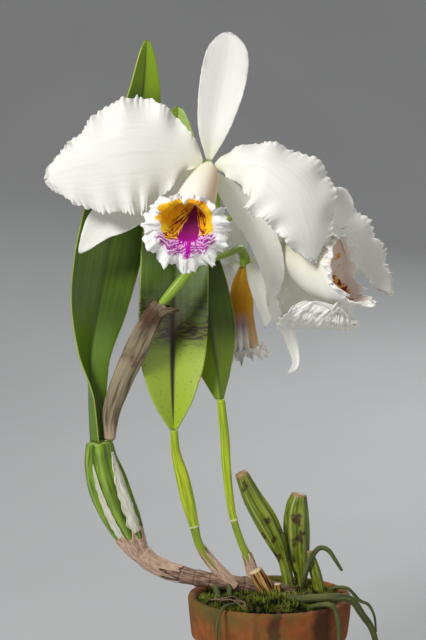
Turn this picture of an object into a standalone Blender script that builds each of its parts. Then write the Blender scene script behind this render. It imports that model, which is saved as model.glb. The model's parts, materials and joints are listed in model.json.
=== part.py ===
"""Potted cattleya orchid: three white blooms with frilled lips on one green stalk, leathery leaves on
thin pseudobulbs, old backbulbs and roots, in a plain clay pot of bark and moss.

Lengths are in millimetres and are scaled to metres where a mesh is made. +X is right, +Y is away
from the eye, +Z is up, and the origin is the middle of the pot's foot.
"""
import math

import bpy
from mathutils import Vector, noise

MM = 0.001
GAP = 0.3  # clearance wherever two pieces meet

# The clay pot and its filling
POT_HEIGHT = 88
RIM_RADIUS = 48
COLLAR_HEIGHT = 24
COLLAR_TAPER = 2.2
COLLAR_STEP = 2.4
FOOT_RADIUS = 31
FLOOR_THICKNESS = 6
BORE_TOP = 43.4
BORE_FOOT = 27
RIM_ROUND = 1.6
DRAIN_RADIUS = 3.5
DRAIN_CIRCLE = 16
POT_SIDES = 32
MIX_EDGE = 85
MIX_CROWN = 88.5
MIX_LUMP = 1.3

# Creeping stem and the growths that rise from it, foot first
RHIZOME_PATH = [(-73, 0, 109), (-62, 0, 103), (-47, 0, 98.5), (-30, 0, 95.5), (-12, 4, 92), (6, 9, 88),
                (20, 12, 85)]
RHIZOME_RADII = [4.0, 4.6, 4.9, 4.6, 5.0, 4.8, 3.6]
LEAD_BULB_PATH = [(-73.5, 0, 110.6), (-78, 0, 115), (-84, 0, 126), (-90, 0, 139.5), (-95, 0, 153),
                  (-98.5, 0, 166), (-99.6, 0, 178)]
LEAD_BULB_RADII = [4.4, 6.4, 9.6, 11.8, 12.2, 10.4, 7.8]
SECOND_STEM_PATH = [(-26, 0, 98), (-35, 0, 108), (-41.6, 0, 118), (-44.6, 0, 130), (-47.8, 0, 143),
                    (-51.3, 0, 158), (-55, 0, 172), (-56, 0, 185)]
SECOND_STEM_RADII = [3.4, 3.0, 2.8, 3.4, 4.8, 4.5, 3.1, 2.2]
THIRD_STEM_PATH = [(-8, 6, 92), (-12, 5, 107), (-16.8, 5, 118), (-21.5, 6, 133), (-24, 7, 149),
                   (-25.5, 8, 164), (-26.4, 8, 180), (-28.6, 8, 202)]
THIRD_STEM_RADII = [3.4, 3.0, 2.5, 2.6, 3.0, 3.2, 3.1, 2.4]
BACKBULBS = {
    "backbulb_leaning": (
        [(12.5, 11, 87), (11, 12, 96), (8.4, 12.5, 106), (4.2, 12, 117), (-2, 10, 130), (-10, 8, 144),
         (-16.8, 7, 159)],
        [3.0, 3.4, 3.4, 5.6, 6.8, 5.8, 3.8]),
    "backbulb_broad": (
        [(21, 16.5, 83), (19.4, 18, 93), (18, 18.5, 104), (17, 18.5, 116), (16.6, 18.5, 128), (17, 18.5, 137),
         (18.2, 18.5, 144)],
        [2.8, 3.4, 6.0, 7.8, 7.8, 6.6, 4.6]),
    "backbulb_small": (
        [(31, 3, 82), (29.6, 3, 90), (27.6, 3, 98), (25.4, 3, 106), (23.6, 3, 113)],
        [2.0, 3.0, 3.4, 3.0, 1.6]),
}
STUBS = {
    "old_stem_stub": ([(-0.5, -5.5, 88), (-4, -5.5, 95), (-8.6, -5.5, 103.5)], [3.6, 4.7, 3.9]),
    "old_stem_stub_small": ([(5.4, -4, 86), (5, -4.5, 91), (4.4, -5, 95.5)], [1.8, 2.2, 1.9]),
}
SHEATH_CLEAR = 0.3 + GAP  # from a growth to the middle of its papery sheath

# Leaves: midrib from the foot, half widths on either side, and the way the inner face looks
LEAVES = {
    "leaf_lead": dict(
        spine=[(-104.6, 0, 178.5), (-105.6, 1, 203), (-105.4, 5, 228), (-101.4, 11, 256), (-95, 16, 292),
               (-86, 18, 334),
               (-75.5, 13, 376), (-71.5, 5, 411)],
        left=[5.2, 6.4, 10.5, 17, 20.5, 19, 12, 7], right=[5.2, 6.4, 10.5, 17, 20.5, 19, 12, 7],
        face=[(1, -0.35, 0), (0.9, -0.5, 0), (0.5, -0.85, 0.1), (0.3, -0.95, 0.1), (0.35, -0.9, 0.1),
              (0.4, -0.9, 0),
              (0.45, -0.9, 0), (0.4, -0.9, 0)],
        fold=[1.4, 1.2, 0.6, 0.25, 0.2, 0.25, 0.35, 0.4]),
    "leaf_second": dict(
        spine=[(-56.2, 0, 185.5), (-56.8, 3, 203), (-57, 7, 228), (-56.5, 11, 262), (-56, 15, 300),
               (-55.5, 19, 336),
               (-54, 22, 374)],
        left=[2.2, 12, 19, 20, 19, 15, 9], right=[2.2, 12, 19, 20, 19, 15, 9],
        face=[(0, -1, 0), (0.05, -1, 0), (0.1, -1, 0)],
        fold=[0.9, 0.6, 0.45, 0.45, 0.4, 0.5, 0.5]),
    "leaf_third": dict(
        spine=[(-28.8, 8, 202.5), (-30.5, 10.5, 218), (-34, 15, 240), (-38, 21, 264), (-43, 28, 290),
               (-47, 35, 316)],
        left=[2.4, 9, 16, 16, 12, 3], right=[2.4, 9, 16, 15, 11, 3],
        face=[(-0.3, 0.95, 0), (-0.25, 1, 0), (-0.2, 1, 0)],
        fold=[0.9, 0.6, 0.4, 0.35, 0.3, 0.3]),
}
LEAF_THICKNESS = 1.5

# Dried flower sheath, and the flower stalk that leaves it
SHEATH_PATH = [(-93.4, -1.5, 180.5), (-92, -3, 197), (-86, -6, 215), (-76, -9, 236), (-68, -11.6, 252),
               (-62, -12.8, 261)]
SHEATH_HALF_WIDTHS = [3.2, 5.2, 6.6, 7.0, 6.0, 4.6]
SHEATH_HALF_DEPTHS = [3.2, 3.5, 3.7, 3.7, 3.7, 3.7]
SHEATH_WALL = 0.7
STALK_PATH = [(-93.4, -1.5, 179.3), (-92, -3, 197), (-86, -6, 215), (-76, -9, 236), (-66.5, -12, 254),
              (-56, -13, 268),
              (-46, -10, 279), (-39, -4, 286)]
STALK_RADII = [2.0, 2.2, 2.2, 2.2, 2.3, 2.9, 3.0, 3.0]

# Blooms: the middle of each bloom, the way it looks, and its flower stem from the stalk's end
BLOOMS = {
    "front": dict(hub=(-36, -22, 338), facing=(0, -1, -0.12),
                  stem=[(-41, -6, 284), (-35, -2, 296), (-31.5, 0, 310), (-31.5, -1, 324), (-34, -8, 335)]),
    "right": dict(hub=(12, 5, 303), facing=(0.66, -0.55, -0.5),
                  stem=[(-40, -5, 285), (-33, -1, 297), (-25, 3, 308), (-13, 9, 314), (0, 12, 311)]),
    "back": dict(hub=(-14, 35, 281), facing=(0.12, 0.42, -0.9),
                 stem=[(-40, -5, 284), (-31, 3, 286), (-23, 13, 288.5), (-17.5, 23, 290.5)]),
}
STEM_RADII = [2.0, 1.8, 1.9, 2.3, 2.9, 3.3]
OVARY_STRAIGHT = 6  # length of flower stem in line with the bloom
OVARY_PROUD = 0.7
RING_RADIUS = 3.8  # where sepals and petals start, round the end of the flower stem
PETAL_THICKNESS = 0.9

# Sepals and petals: path from the bloom's middle, half widths, and the way the inner face looks
FRONT_ORGANS = {
    "sepal_dorsal": dict(
        spine=[(3, -2, 22), (7, 2, 43), (10.5, 8, 62), (11.5, 13, 76)],
        left=[1.6, 9, 12.6, 12.4, 7], right=[1.6, 9, 12.6, 12.6, 7.5],
        face=[(0, -1, 0), (0.1, -1, 0), (0.2, -1, 0.2)], fold=[0.3, 0.25, 0.1]),
    "petal_left": dict(
        spine=[(-12, -3, 5), (-24, -6, 7), (-38, -9, 8), (-52, -9, 6), (-66, -6, 2), (-80, -2, -2),
               (-91.5, 3, -7)],
        left=[1.6, 10, 26, 35, 33, 29, 22, 14], right=[1.6, 13, 25, 31, 28, 20, 12, 9],
        face=[(0, -1, 0), (-0.1, -1, 0), (-0.3, -1, 0)], curl=(-0.12, -0.2), waves=6, depth=3.2),
    "petal_right": dict(
        spine=[(11, -5, 1), (22, -10, 1), (33, -14, -2), (44, -17, -12), (52, -17, -25), (57, -14, -40),
               (59.5, -8, -54)],
        left=[1.6, 8, 13, 18, 26, 25, 17, 7], right=[1.6, 7, 15, 24, 24, 19, 14, 6],
        face=[(0, -1, 0), (0.1, -1, 0.15), (0.35, -1, 0.1)], curl=(-0.4, -0.1), waves=6, depth=3.4),
    "sepal_left": dict(
        spine=[(-16, 5, -8), (-33, 8, -17), (-49, 11, -25), (-62, 13, -33), (-74, 16, -49)],
        left=[1.6, 7, 10, 11.5, 9.5, 3.5], right=[1.6, 7, 10, 11.5, 9, 3.5],
        face=[(0, -1, 0), (0, -1, 0), (-0.1, -1, 0.2)], fold=[0.2, 0.15, 0.1]),
    "sepal_right": dict(
        spine=[(12, 6, -15), (20, 8, -26), (29, 9, -39), (35, 10, -53), (37, 11, -66), (34.5, 13, -79)],
        left=[1.6, 7, 9.5, 9.5, 8, 6, 2.5], right=[1.6, 6, 7.5, 8, 8, 6, 2.5],
        face=[(0, -1, 0), (0.3, -1, 0), (0.5, -0.9, 0)], fold=[0.2, 0.3, 0.3]),
}
RIGHT_ORGANS = {
    "sepal_dorsal": dict(
        spine=[(9, -1, 12), (16, -7, 20), (23, -13, 21), (28, -18, 13), (28.5, -20, 0)],
        left=[1.6, 6, 8.5, 8.5, 8, 5.5], right=[1.6, 6, 8.5, 8.5, 8, 5.5],
        face=[(0.66, -0.6, 0), (0.5, -0.5, -0.7), (0.2, 0.3, -1), (-0.3, 1, -0.5), (-0.2, 1, 0)],
        fold=[0.25, 0.2, 0.15]),
    "petal_far": dict(
        spine=[(16, 10, 5), (25, 17, 2), (33, 21, -6), (41, 22, -17), (49, 18, -28), (60, 10, -40)],
        left=[1.6, 13, 20, 23, 22, 16, 6], right=[1.6, 8, 15, 17, 12, 5, 3],
        face=[(0.66, -0.55, 0), (0.5, -0.85, 0.2), (0.45, -0.85, 0.25)],
        curl=(-0.2, -0.1), waves=6, depth=2.4),
    "petal_near": dict(
        spine=[(-4, -1, -8), (-1, 8, -19), (7, 12, -31), (15, 11, -44), (18, 4, -54), (19, -10, -58), (20, -25, -54),
               (24, -31, -45)],
        left=[1.6, 3, 8, 14, 19, 20, 19, 18, 17], right=[1.6, 4, 12, 18, 22, 25, 27, 28, 27],
        face=[(0.66, -0.55, 0), (0.5, -0.8, 0), (0.2, -1, 0), (0, -0.8, 0.5), (0, 0, 1), (0, 0.8, 0.6), (0, 1, 0.1)],
        curl=(0.1, 0.05), waves=6, depth=2.8),
    "sepal_near": dict(
        spine=[(-3, 14, -20), (-6, 17, -33), (-6, 17, -46), (-1, 14, -59), (2.5, 10, -72), (3.5, 7, -80),
               (-1, 5, -86)],
        left=[1.6, 6, 7.5, 7.5, 5, 3, 2, 1.2], right=[1.6, 6, 7.5, 7.5, 5, 3, 2, 1.2],
        face=[(0.66, -0.55, 0), (0, -1, 0), (0.1, -1, 0)], fold=[0.2, 0.3, 0.4]),
    "sepal_far": dict(
        spine=[(16, 17, -11), (25, 27, -22), (31, 31, -34), (34, 31, -45)],
        left=[1.6, 7, 9, 8, 3.5], right=[1.6, 7, 9, 8, 3.5],
        face=[(0.66, -0.55, 0), (0.6, -0.8, 0)], fold=[0.2, 0.2]),
}
BACK_ORGANS = {
    "sepal_dorsal": dict(
        spine=[(-2, 7, 8), (-4, 9, 20), (-2, 8, 33), (3, 6, 45)],
        left=[1.6, 4, 5.5, 6.5, 3], right=[1.6, 4, 5.5, 6.5, 3],
        face=[(0.1, 0.4, -0.9), (0, -1, -0.4), (0, -1, 0)], fold=[0.3, 0.3]),
    "petal_right": dict(
        spine=[(11, 5, 4), (23, 14, 11), (34, 23, 12), (46, 29, 6), (55, 31, -4)],
        left=[1.6, 6, 15, 20, 17, 6], right=[1.6, 6, 15, 20, 17, 6],
        face=[(0.1, 0.4, -0.9), (0.2, 0.8, -0.6), (0.5, 0.7, -0.3)], curl=(-0.1, -0.1), waves=6, depth=2.4),
    "petal_left": dict(
        spine=[(-11, 5, 4), (-20, 13, 9), (-29, 24, 10), (-36, 36, 7), (-41, 47, 0)],
        left=[1.6, 4, 15, 19, 16, 6], right=[1.6, 4, 15, 19, 16, 6],
        face=[(0.1, 0.4, -0.9), (0.1, 0.8, -0.6), (-0.5, 0.8, -0.3)], curl=(-0.1, -0.1), waves=6, depth=2.4),
    "sepal_left": dict(
        spine=[(-8, -3, -1.5), (-14, -1, -9), (-20, 4, -18), (-24, 11, -29), (-26, 19, -40)],
        left=[1.6, 4, 6, 7, 6, 3], right=[1.6, 4, 6, 7, 6, 3],
        face=[(0.1, 0.4, -0.9), (-0.3, 0.9, -0.3), (-0.5, 0.8, 0)], fold=[0.2, 0.2]),
    "sepal_right": dict(
        spine=[(6, -6, -8), (9.5, -8, -18), (12, -8, -28), (12, -6, -38)],
        left=[1.6, 5, 6, 5, 1.6], right=[1.6, 5, 6, 5, 1.6],
        face=[(0.1, 0.4, -0.9), (0.3, 1, 0), (0.5, 1, 0)], fold=[0.3, 0.4]),
}
ORGANS = {"front": FRONT_ORGANS, "right": RIGHT_ORGANS, "back": BACK_ORGANS}

# Lips: axis of the tube from the bloom's middle, its radii, the way the mouth looks, and the reach of
# the frill round it, from the upper side and then left, below and right as the mouth is seen
LIPS = {
    "front": dict(axis=[(-1.5, -10, -6), (-6, -21, -17), (-11.5, -31, -30)], radii=[3.0, 7.0, 10.2, 11],
                  mouth=(-0.1, -0.95, -0.35), reach=[14, 18, 23, 27, 28, 25, 22, 17], turned=0.35),
    "right": dict(axis=[(7, -7, -12), (15, -12, -19), (25, -17, -24)], radii=[3.0, 14, 18.5, 19.5],
                  mouth=(0.93, -0.36, 0.05), reach=[20, 20.5, 22, 21, 19, 21, 24, 22], turned=0.3, lobe=18),
    "back": dict(axis=[(-1.5, 6, -14), (-2.5, 11, -33), (-1, 16, -52)], radii=[3.0, 6.4, 7.6, 8],
                 mouth=(0.2, 0.1, -0.97), reach=[14, 17, 19, 20, 19, 15, 12.5, 12.5], turned=0.1),
}
FRILLS = 12
FRILL_DEPTH = 3.2
FRILL_REACH = 1.8
LIP_START = 1.9
COLUMN_START = 1.2
COLUMN_RADII = [1.8, 2.3, 3.0, 2.4]

# Roots, from where they leave the plant to their tips
ROOTS = {
    "root_over_rim": ([(6, -14, 90.5), (14, -23, 91), (26, -27, 92.5), (38, -28, 93.2), (46, -26, 91),
                       (53, -22, 81),
                       (58.5, -17, 72), (62, -13, 60), (63.5, -11, 46)], 2.2),
    "root_arched": ([(20, 7, 88), (20.5, 1, 97), (23.5, -1, 108), (28.5, -2, 115.5), (34, -3, 115),
                     (38.5, -5, 109),
                     (42, -6, 103.5)], 1.5),
    "root_thin_right": ([(31, 8, 86), (38, 4, 90.6), (46, 1, 91), (53, 1, 84), (58.5, 2, 81), (62, 2, 74),
                         (63, 1, 65)], 1.0),
    "root_hanging": ([(22, -30, 88), (30, -36, 91), (35.4, -38, 89.5), (37.6, -38.5, 80), (38.2, -37, 70),
                      (37, -35.5, 58)], 1.4),
    "root_thin_left": ([(-16, -22, 88), (-23.5, -34, 90.5), (-28, -42, 90), (-31, -46.5, 82),
                        (-31.2, -45, 71),
                        (-30.5, -42.6, 60)], 0.8),
    "root_tip": ([(-32, -2, 94), (-31, -5, 90.5), (-29, -8, 86)], 1.9),
    "root_green": ([(-24, -3, 94), (-23.6, -7, 89.5), (-24.4, -10, 85)], 1.5),
}

# Finishes: colour as sRGB hex and roughness
TERRACOTTA = ("B5653A", 0.85)
BARK_AND_MOSS = ("4F4A26", 0.95)
WOODY_STEM = ("8A7B66", 0.75)
BULB_GREEN = ("5C8A1C", 0.45)
CANE_GREEN = ("A9BC22", 0.4)
LEAF_GREEN = ("5F8018", 0.4)
DRIED_SHEATH = ("96805F", 0.8)
PAPER_SHEATH = ("BDB6A0", 0.8)
STALK_GREEN = ("7FA324", 0.45)
PETAL_WHITE = ("F2F4EE", 0.6)
LIP_WHITE = ("F3E9D6", 0.6)
COLUMN_CREAM = ("F3EFD8", 0.55)
ROOT_GREEN = ("7C8460", 0.8)


def linear(hexadecimal):
    """Linear colour of an sRGB hex value."""
    parts = [int(hexadecimal[i:i + 2], 16) / 255 for i in (0, 2, 4)]
    return [p / 12.92 if p <= 0.04045 else ((p + 0.055) / 1.055) ** 2.4 for p in parts] + [1.0]


def finish(obj, look):
    """Gives the object its own material."""
    material = bpy.data.materials.new(obj.name)
    material.use_nodes = True
    shader = material.node_tree.nodes["Principled BSDF"]
    shader.inputs["Base Color"].default_value = linear(look[0])
    shader.inputs["Roughness"].default_value = look[1]
    shader.inputs["Metallic"].default_value = 0.0
    obj.data.materials.clear()
    obj.data.materials.append(material)


def solid(name, points, faces):
    """An object from points in millimetres and its faces."""
    mesh = bpy.data.meshes.new(name)
    mesh.from_pydata([p * MM for p in points], [], faces)
    mesh.validate()
    mesh.shade_smooth()
    mesh.set_sharp_from_angle(angle=math.radians(50))
    obj = bpy.data.objects.new(name, mesh)
    bpy.context.scene.collection.objects.link(obj)
    return obj


def settle(obj):
    """Applies the object's modifiers."""
    graph = bpy.context.evaluated_depsgraph_get()
    mesh = bpy.data.meshes.new_from_object(obj.evaluated_get(graph))
    obj.modifiers.clear()
    obj.data = mesh


def combine(obj, others, operation):
    """Joins the other solids to the object, or cuts them from it, and removes them."""
    group = bpy.data.collections.new(obj.name + "_others")
    for other in others:
        group.objects.link(other)
    change = obj.modifiers.new(operation.title(), "BOOLEAN")
    change.operation = operation
    change.operand_type = "COLLECTION"
    change.collection = group
    change.solver = "EXACT"
    settle(obj)
    for other in others:
        bpy.data.objects.remove(other)
    bpy.data.collections.remove(group)
    return obj


def along(values, t):
    """Value at t, from 0 to 1, on the smooth curve through points or numbers."""
    spans = len(values) - 1
    if spans == 0:
        return values[0]
    place = min(max(t, 0.0), 1.0) * spans
    i = min(int(place), spans - 1)
    f = place - i
    b, c = values[i], values[i + 1]
    a = values[i - 1] if i > 0 else b * 2 - c
    d = values[i + 2] if i + 2 <= spans else c * 2 - b
    return (b * 2 + (c - a) * f + (a * 2 - b * 5 + c * 4 - d) * f ** 2 + (b * 3 - a - c * 3 + d) * f ** 3) * 0.5


def vectors(points):
    return [Vector(p) for p in points]


def heading(path, t):
    return (along(path, min(t + 0.01, 1)) - along(path, max(t - 0.01, 0))).normalized()


def tube_rings(path, widths, depths, count, sides, ribs=0, rib_depth=0.0, grow=0.0, start=Vector((0, 1, 0))):
    """Rings of points round a path, with an oval section that may be ribbed."""
    path = vectors(path)
    rings = []
    across = start
    for i in range(count + 1):
        t = i / count
        ahead = heading(path, t)
        across = (across - ahead * across.dot(ahead)).normalized()
        beside = ahead.cross(across)
        ring = []
        for k in range(sides):
            turn = math.tau * k / sides
            rib = 1 - rib_depth * (0.5 + 0.5 * math.cos(ribs * turn)) * math.sin(math.pi * t) if ribs else 1
            ring.append(along(path, t)
                        + across * math.cos(turn) * (along(depths, t) * rib + grow)
                        + beside * math.sin(turn) * (along(widths, t) * rib + grow))
        rings.append(ring)
    return rings


def tube(name, rings):
    """A closed solid from rings of points, foot first."""
    sides = len(rings[0])
    points = [p for ring in rings for p in ring]
    faces = []
    for i in range(len(rings) - 1):
        for k in range(sides):
            a, b = i * sides + k, i * sides + (k + 1) % sides
            faces.append((a, b, b + sides, a + sides))
    faces.append(tuple(reversed(range(sides))))
    faces.append(tuple(range(len(points) - sides, len(points))))
    return solid(name, points, faces)


def sheet(name, grid, thickness, closed=False):
    """A thin solid on both sides of a grid of points, its rows closed into rings if asked."""
    rows, columns = len(grid), len(grid[0])
    front, rear = [], []
    for i in range(rows):
        for j in range(columns):
            before, after = (j - 1) % columns, (j + 1) % columns
            if not closed:
                before, after = max(j - 1, 0), min(j + 1, columns - 1)
            across = grid[i][after] - grid[i][before]
            ahead = grid[min(i + 1, rows - 1)][j] - grid[max(i - 1, 0)][j]
            outward = across.cross(ahead).normalized()
            front.append(grid[i][j] + outward * thickness / 2)
            rear.append(grid[i][j] - outward * thickness / 2)
    faces = []
    shift = rows * columns
    spans = columns if closed else columns - 1
    for i in range(rows - 1):
        for j in range(spans):
            a, b = i * columns + j, i * columns + (j + 1) % columns
            c, d = b + columns, a + columns
            faces += [(a, b, c), (a, c, d), (a + shift, c + shift, b + shift), (a + shift, d + shift, c + shift)]
    for j in range(spans):
        a, b = j, (j + 1) % columns
        faces.append((a, a + shift, b + shift, b))
        a, b = a + shift - columns, b + shift - columns
        faces.append((a, b, b + shift, a + shift))
    if not closed:
        for i in range(rows - 1):
            a, b = i * columns, (i + 1) * columns
            faces.append((a, b, b + shift, a + shift))
            a, b = a + columns - 1, b + columns - 1
            faces.append((a, a + shift, b + shift, b))
    return solid(name, front + rear, faces)


def blade_grid(spine, left, right, face, rows, across, fold=(0, 0), curl=(0, 0), waves=0, depth=0.0):
    """Middle surface of a leaf, sepal or petal, from its foot to its rounded tip.

    Left and right are as seen with the tip up and the inner face towards the eye. Fold is the slope
    of the two halves, curl bends the margins and waves ripple them.
    """
    spine, face = vectors(spine), vectors(face)
    grid = []
    for i in range(rows + 1):
        t = i / rows
        u = t * (1.5 - 0.5 * t)
        ahead = heading(spine, u)
        side = ahead.cross(along(face, u)).normalized()
        inner = side.cross(ahead)
        rounding = max(math.sqrt(1 - u ** 14), 0.12)
        row = []
        for j in range(-across, across + 1):
            v = math.copysign(abs(j / across) ** 0.75, j)
            half = along(left if v < 0 else right, u) * rounding
            bend = curl[0] if v < 0 else curl[1]
            ripple = math.sin(math.tau * waves * u + (0 if v < 0 else 2)) * abs(v) ** 3
            ripple *= math.sin(math.pi * u) ** 0.5
            lift = along(fold, u) * abs(v) * half + bend * v * v * half + depth * ripple
            row.append(along(spine, u) + side * v * half + inner * lift)
        grid.append(row)
    return grid


def make_pot():
    """Clay pot: a turned wall with a collar, a rounded rim and three drain holes."""
    under_collar = POT_HEIGHT - COLLAR_HEIGHT
    profile = [
        (0, FLOOR_THICKNESS), (BORE_FOOT, FLOOR_THICKNESS),
        (BORE_TOP, POT_HEIGHT - RIM_ROUND), (BORE_TOP + RIM_ROUND / 2, POT_HEIGHT - RIM_ROUND / 3),
        (BORE_TOP + RIM_ROUND, POT_HEIGHT), (RIM_RADIUS - RIM_ROUND, POT_HEIGHT),
        (RIM_RADIUS - RIM_ROUND / 3, POT_HEIGHT - RIM_ROUND / 2), (RIM_RADIUS, POT_HEIGHT - RIM_ROUND),
        (RIM_RADIUS - COLLAR_TAPER, under_collar + 1), (RIM_RADIUS - COLLAR_TAPER - 1, under_collar),
        (RIM_RADIUS - COLLAR_TAPER - COLLAR_STEP, under_collar - 0.6),
        (FOOT_RADIUS + 0.8, 1), (FOOT_RADIUS, 0), (0, 0),
    ]
    mesh = bpy.data.meshes.new("pot")
    edges = [(i, i + 1) for i in range(len(profile) - 1)]
    mesh.from_pydata([(x * MM, 0, z * MM) for x, z in profile], edges, [])
    pot = bpy.data.objects.new("pot", mesh)
    bpy.context.scene.collection.objects.link(pot)
    turn = pot.modifiers.new("Turned wall", "SCREW")
    turn.steps = turn.render_steps = POT_SIDES
    turn.use_merge_vertices = True
    turn.merge_threshold = 0.00001
    settle(pot)
    drills = []
    for k in range(3):
        turn = math.tau * (k / 3 + 0.25)
        x, y = DRAIN_CIRCLE * math.cos(turn), DRAIN_CIRCLE * math.sin(turn)
        drills.append(tube(f"drill_{k}", tube_rings([(x, y, -3), (x, y, FLOOR_THICKNESS + 3)], [DRAIN_RADIUS] * 2,
                                                    [DRAIN_RADIUS] * 2, 1, 12)))
    combine(pot, drills, "DIFFERENCE")
    pot.data.shade_smooth()
    pot.data.set_sharp_from_angle(angle=math.radians(40))
    finish(pot, TERRACOTTA)


def make_mix(holes):
    """Bark and moss that fill the pot to just under its rim, with a plain hole for whatever stands in them."""
    slope = (BORE_TOP - BORE_FOOT) / (POT_HEIGHT - RIM_ROUND - FLOOR_THICKNESS)
    edge = BORE_FOOT + slope * (MIX_EDGE - FLOOR_THICKNESS) - GAP
    turns = [math.tau * k / POT_SIDES for k in range(POT_SIDES)]
    foot = BORE_FOOT - GAP
    rings = [[Vector((math.cos(turn) * foot, math.sin(turn) * foot, FLOOR_THICKNESS + GAP)) for turn in turns]]
    for reach in (1.0, 0.8, 0.55, 0.28):
        ring = []
        for turn in turns:
            lump = noise.noise(Vector((math.cos(turn), math.sin(turn), 0)) * reach * 6) * MIX_LUMP * (reach < 1)
            height = MIX_EDGE + (MIX_CROWN - MIX_EDGE) * (1 - reach ** 2) + lump
            ring.append(Vector((math.cos(turn) * edge * reach, math.sin(turn) * edge * reach, height)))
        rings.append(ring)
    mix = tube("potting_mix", rings)
    combine(mix, holes, "DIFFERENCE")
    finish(mix, BARK_AND_MOSS)


def rhizome_rings(grow=0.0):
    """Creeping stem, thickened in rings where scale leaves sat."""
    count = 21
    radii = [along(RHIZOME_RADII, i / count) * (1.1 if i % 3 == 0 else 0.96) for i in range(count + 1)]
    return tube_rings(RHIZOME_PATH, radii, radii, count, 10, grow=grow)


def growth_rings(path, radii, count, sides, ribs, grow=0.0):
    return tube_rings(path, radii, radii, count, sides, ribs, 0.22, grow)


def make_growth(name, path, radii, count, sides, ribs, look):
    """A pseudobulb or stub, cut to stand on the creeping stem."""
    growth = tube(name, growth_rings(path, radii, count, sides, ribs))
    combine(growth, [tube("creeping_stem_cutter", rhizome_rings(GAP))], "DIFFERENCE")
    finish(growth, look)


def make_wrap(name, path, radii, count, sides, ribs, first, last, look):
    """Papery sheath round a growth between two of its rings, its upper edge torn."""
    base = growth_rings(path, radii, count, sides, ribs, SHEATH_CLEAR)
    grid = base[first:last]
    torn = [0.25 + 0.6 * abs(math.sin(2.3 * k + 1)) for k in range(sides)]
    grid.append([base[last - 1][k].lerp(base[last][k], torn[k]) for k in range(sides)])
    finish(sheet(name, grid, 0.6, closed=True), look)


def make_strip(name, path, radii, count, sides, ribs, first, last, column, look):
    """Torn strip of sheath left lying along a growth, two faces wide and narrowing to its end."""
    base = growth_rings(path, radii, count, sides, ribs, SHEATH_CLEAR)
    grid = []
    for i in range(first, last + 1):
        middle = base[i][column % sides]
        reach = 1 - 0.75 * ((i - first) / (last - first)) ** 2
        grid.append([middle.lerp(base[i][(column - 1) % sides], reach), middle,
                     middle.lerp(base[i][(column + 1) % sides], reach)])
    finish(sheet(name, grid, 0.6), look)


def make_leaf(name, shape):
    grid = blade_grid(rows=15, across=3, **shape)
    leaf = sheet(name, grid, LEAF_THICKNESS)
    finish(leaf, LEAF_GREEN)


def make_flower_sheath():
    """Dried sheath: a flattened tube, open at its upper end, round the foot of the flower stalk."""
    rings = tube_rings(SHEATH_PATH, SHEATH_HALF_WIDTHS, SHEATH_HALF_DEPTHS, 8, 10)
    sheath = sheet("flower_sheath", rings, SHEATH_WALL, closed=True)
    finish(sheath, DRIED_SHEATH)


def make_flower_stalk():
    """Green stalk and the three flower stems that grew from it, as one piece."""
    stalk = tube("flower_stalk", tube_rings(STALK_PATH, STALK_RADII, STALK_RADII, 16, 7))
    stems = []
    for name, bloom in BLOOMS.items():
        hub, facing = Vector(bloom["hub"]), Vector(bloom["facing"]).normalized()
        path = bloom["stem"] + [hub - facing * OVARY_STRAIGHT, hub + facing * OVARY_PROUD]
        stems.append(tube("stem_" + name, tube_rings(path, STEM_RADII, STEM_RADII, 12, 7)))
    combine(stalk, stems, "UNION")
    finish(stalk, STALK_GREEN)


def ring_start(bloom, toward, forward):
    """Where a sepal or petal leaves the end of its flower stem."""
    facing = Vector(bloom["facing"]).normalized()
    outward = (toward - facing * toward.dot(facing)).normalized()
    return outward * RING_RADIUS + facing * forward


def make_organ(place, name, shape):
    """One sepal or petal of a bloom."""
    bloom = BLOOMS[place]
    hub = Vector(bloom["hub"])
    petal = name.startswith("petal")
    offsets = vectors(shape["spine"])
    spine = [hub + p for p in [ring_start(bloom, offsets[0], 0.8 if petal else -1.2)] + offsets]
    look = {key: value for key, value in shape.items() if key != "spine"}
    grid = blade_grid(spine, rows=17 if petal else 10, across=3 if petal else 2, **look)
    organ = sheet(f"bloom_{place}_{name}", grid, PETAL_THICKNESS)
    finish(organ, PETAL_WHITE)


def lip_grid(place, rings_in_tube, rings_in_frill, sides):
    """Middle surface of a lip: a tube that opens into a frilled mouth."""
    bloom, lip = BLOOMS[place], LIPS[place]
    facing = Vector(bloom["facing"]).normalized()
    hub = Vector(bloom["hub"])
    axis = [hub + facing * LIP_START] + [hub + Vector(p) for p in lip["axis"]]
    mouth = Vector(lip["mouth"]).normalized()
    top = (Vector((0, 0, 1)) - mouth * mouth.z).normalized()
    if abs(mouth.z) > 0.85:
        top = (Vector((-0.2, -1, 0)) - mouth * mouth.dot(Vector((-0.2, -1, 0)))).normalized()
    grid = []
    for i in range(rings_in_tube + 1):
        t = i / rings_in_tube
        ahead = facing.lerp(heading(axis, t), min(3 * t, 1)).lerp(mouth, t * t * 0.8).normalized()
        up = (top - ahead * top.dot(ahead)).normalized()
        beside = ahead.cross(up)
        radius = along(lip["radii"], t)
        turns = [math.tau * k / sides for k in range(sides)]
        grid.append([along(axis, t) + (up * math.cos(a) + beside * math.sin(a)) * radius for a in turns])
    beside = mouth.cross(top)
    reach, mouth_radius = lip["reach"] + [lip["reach"][0]], lip["radii"][-1]
    for i in range(1, rings_in_frill + 1):
        t = i / rings_in_frill
        ring = []
        for k in range(sides):
            turn = k / sides
            frill = math.cos(math.tau * FRILLS * turn)
            radius = mouth_radius + (along(reach, turn) - mouth_radius) * t ** 1.2 + frill * FRILL_REACH * t * t
            forward = 5.5 * math.sin(t * 1.9) - lip["turned"] * 14 * t * t + frill * FRILL_DEPTH * t * t
            forward += lip.get("lobe", 0) * max(0, -math.cos(math.tau * turn)) ** 1.5 * t ** 1.2
            spoke = top * math.cos(math.tau * turn) + beside * math.sin(math.tau * turn)
            ring.append(axis[-1] + spoke * radius + mouth * forward)
        grid.append(ring)
    return grid


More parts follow.
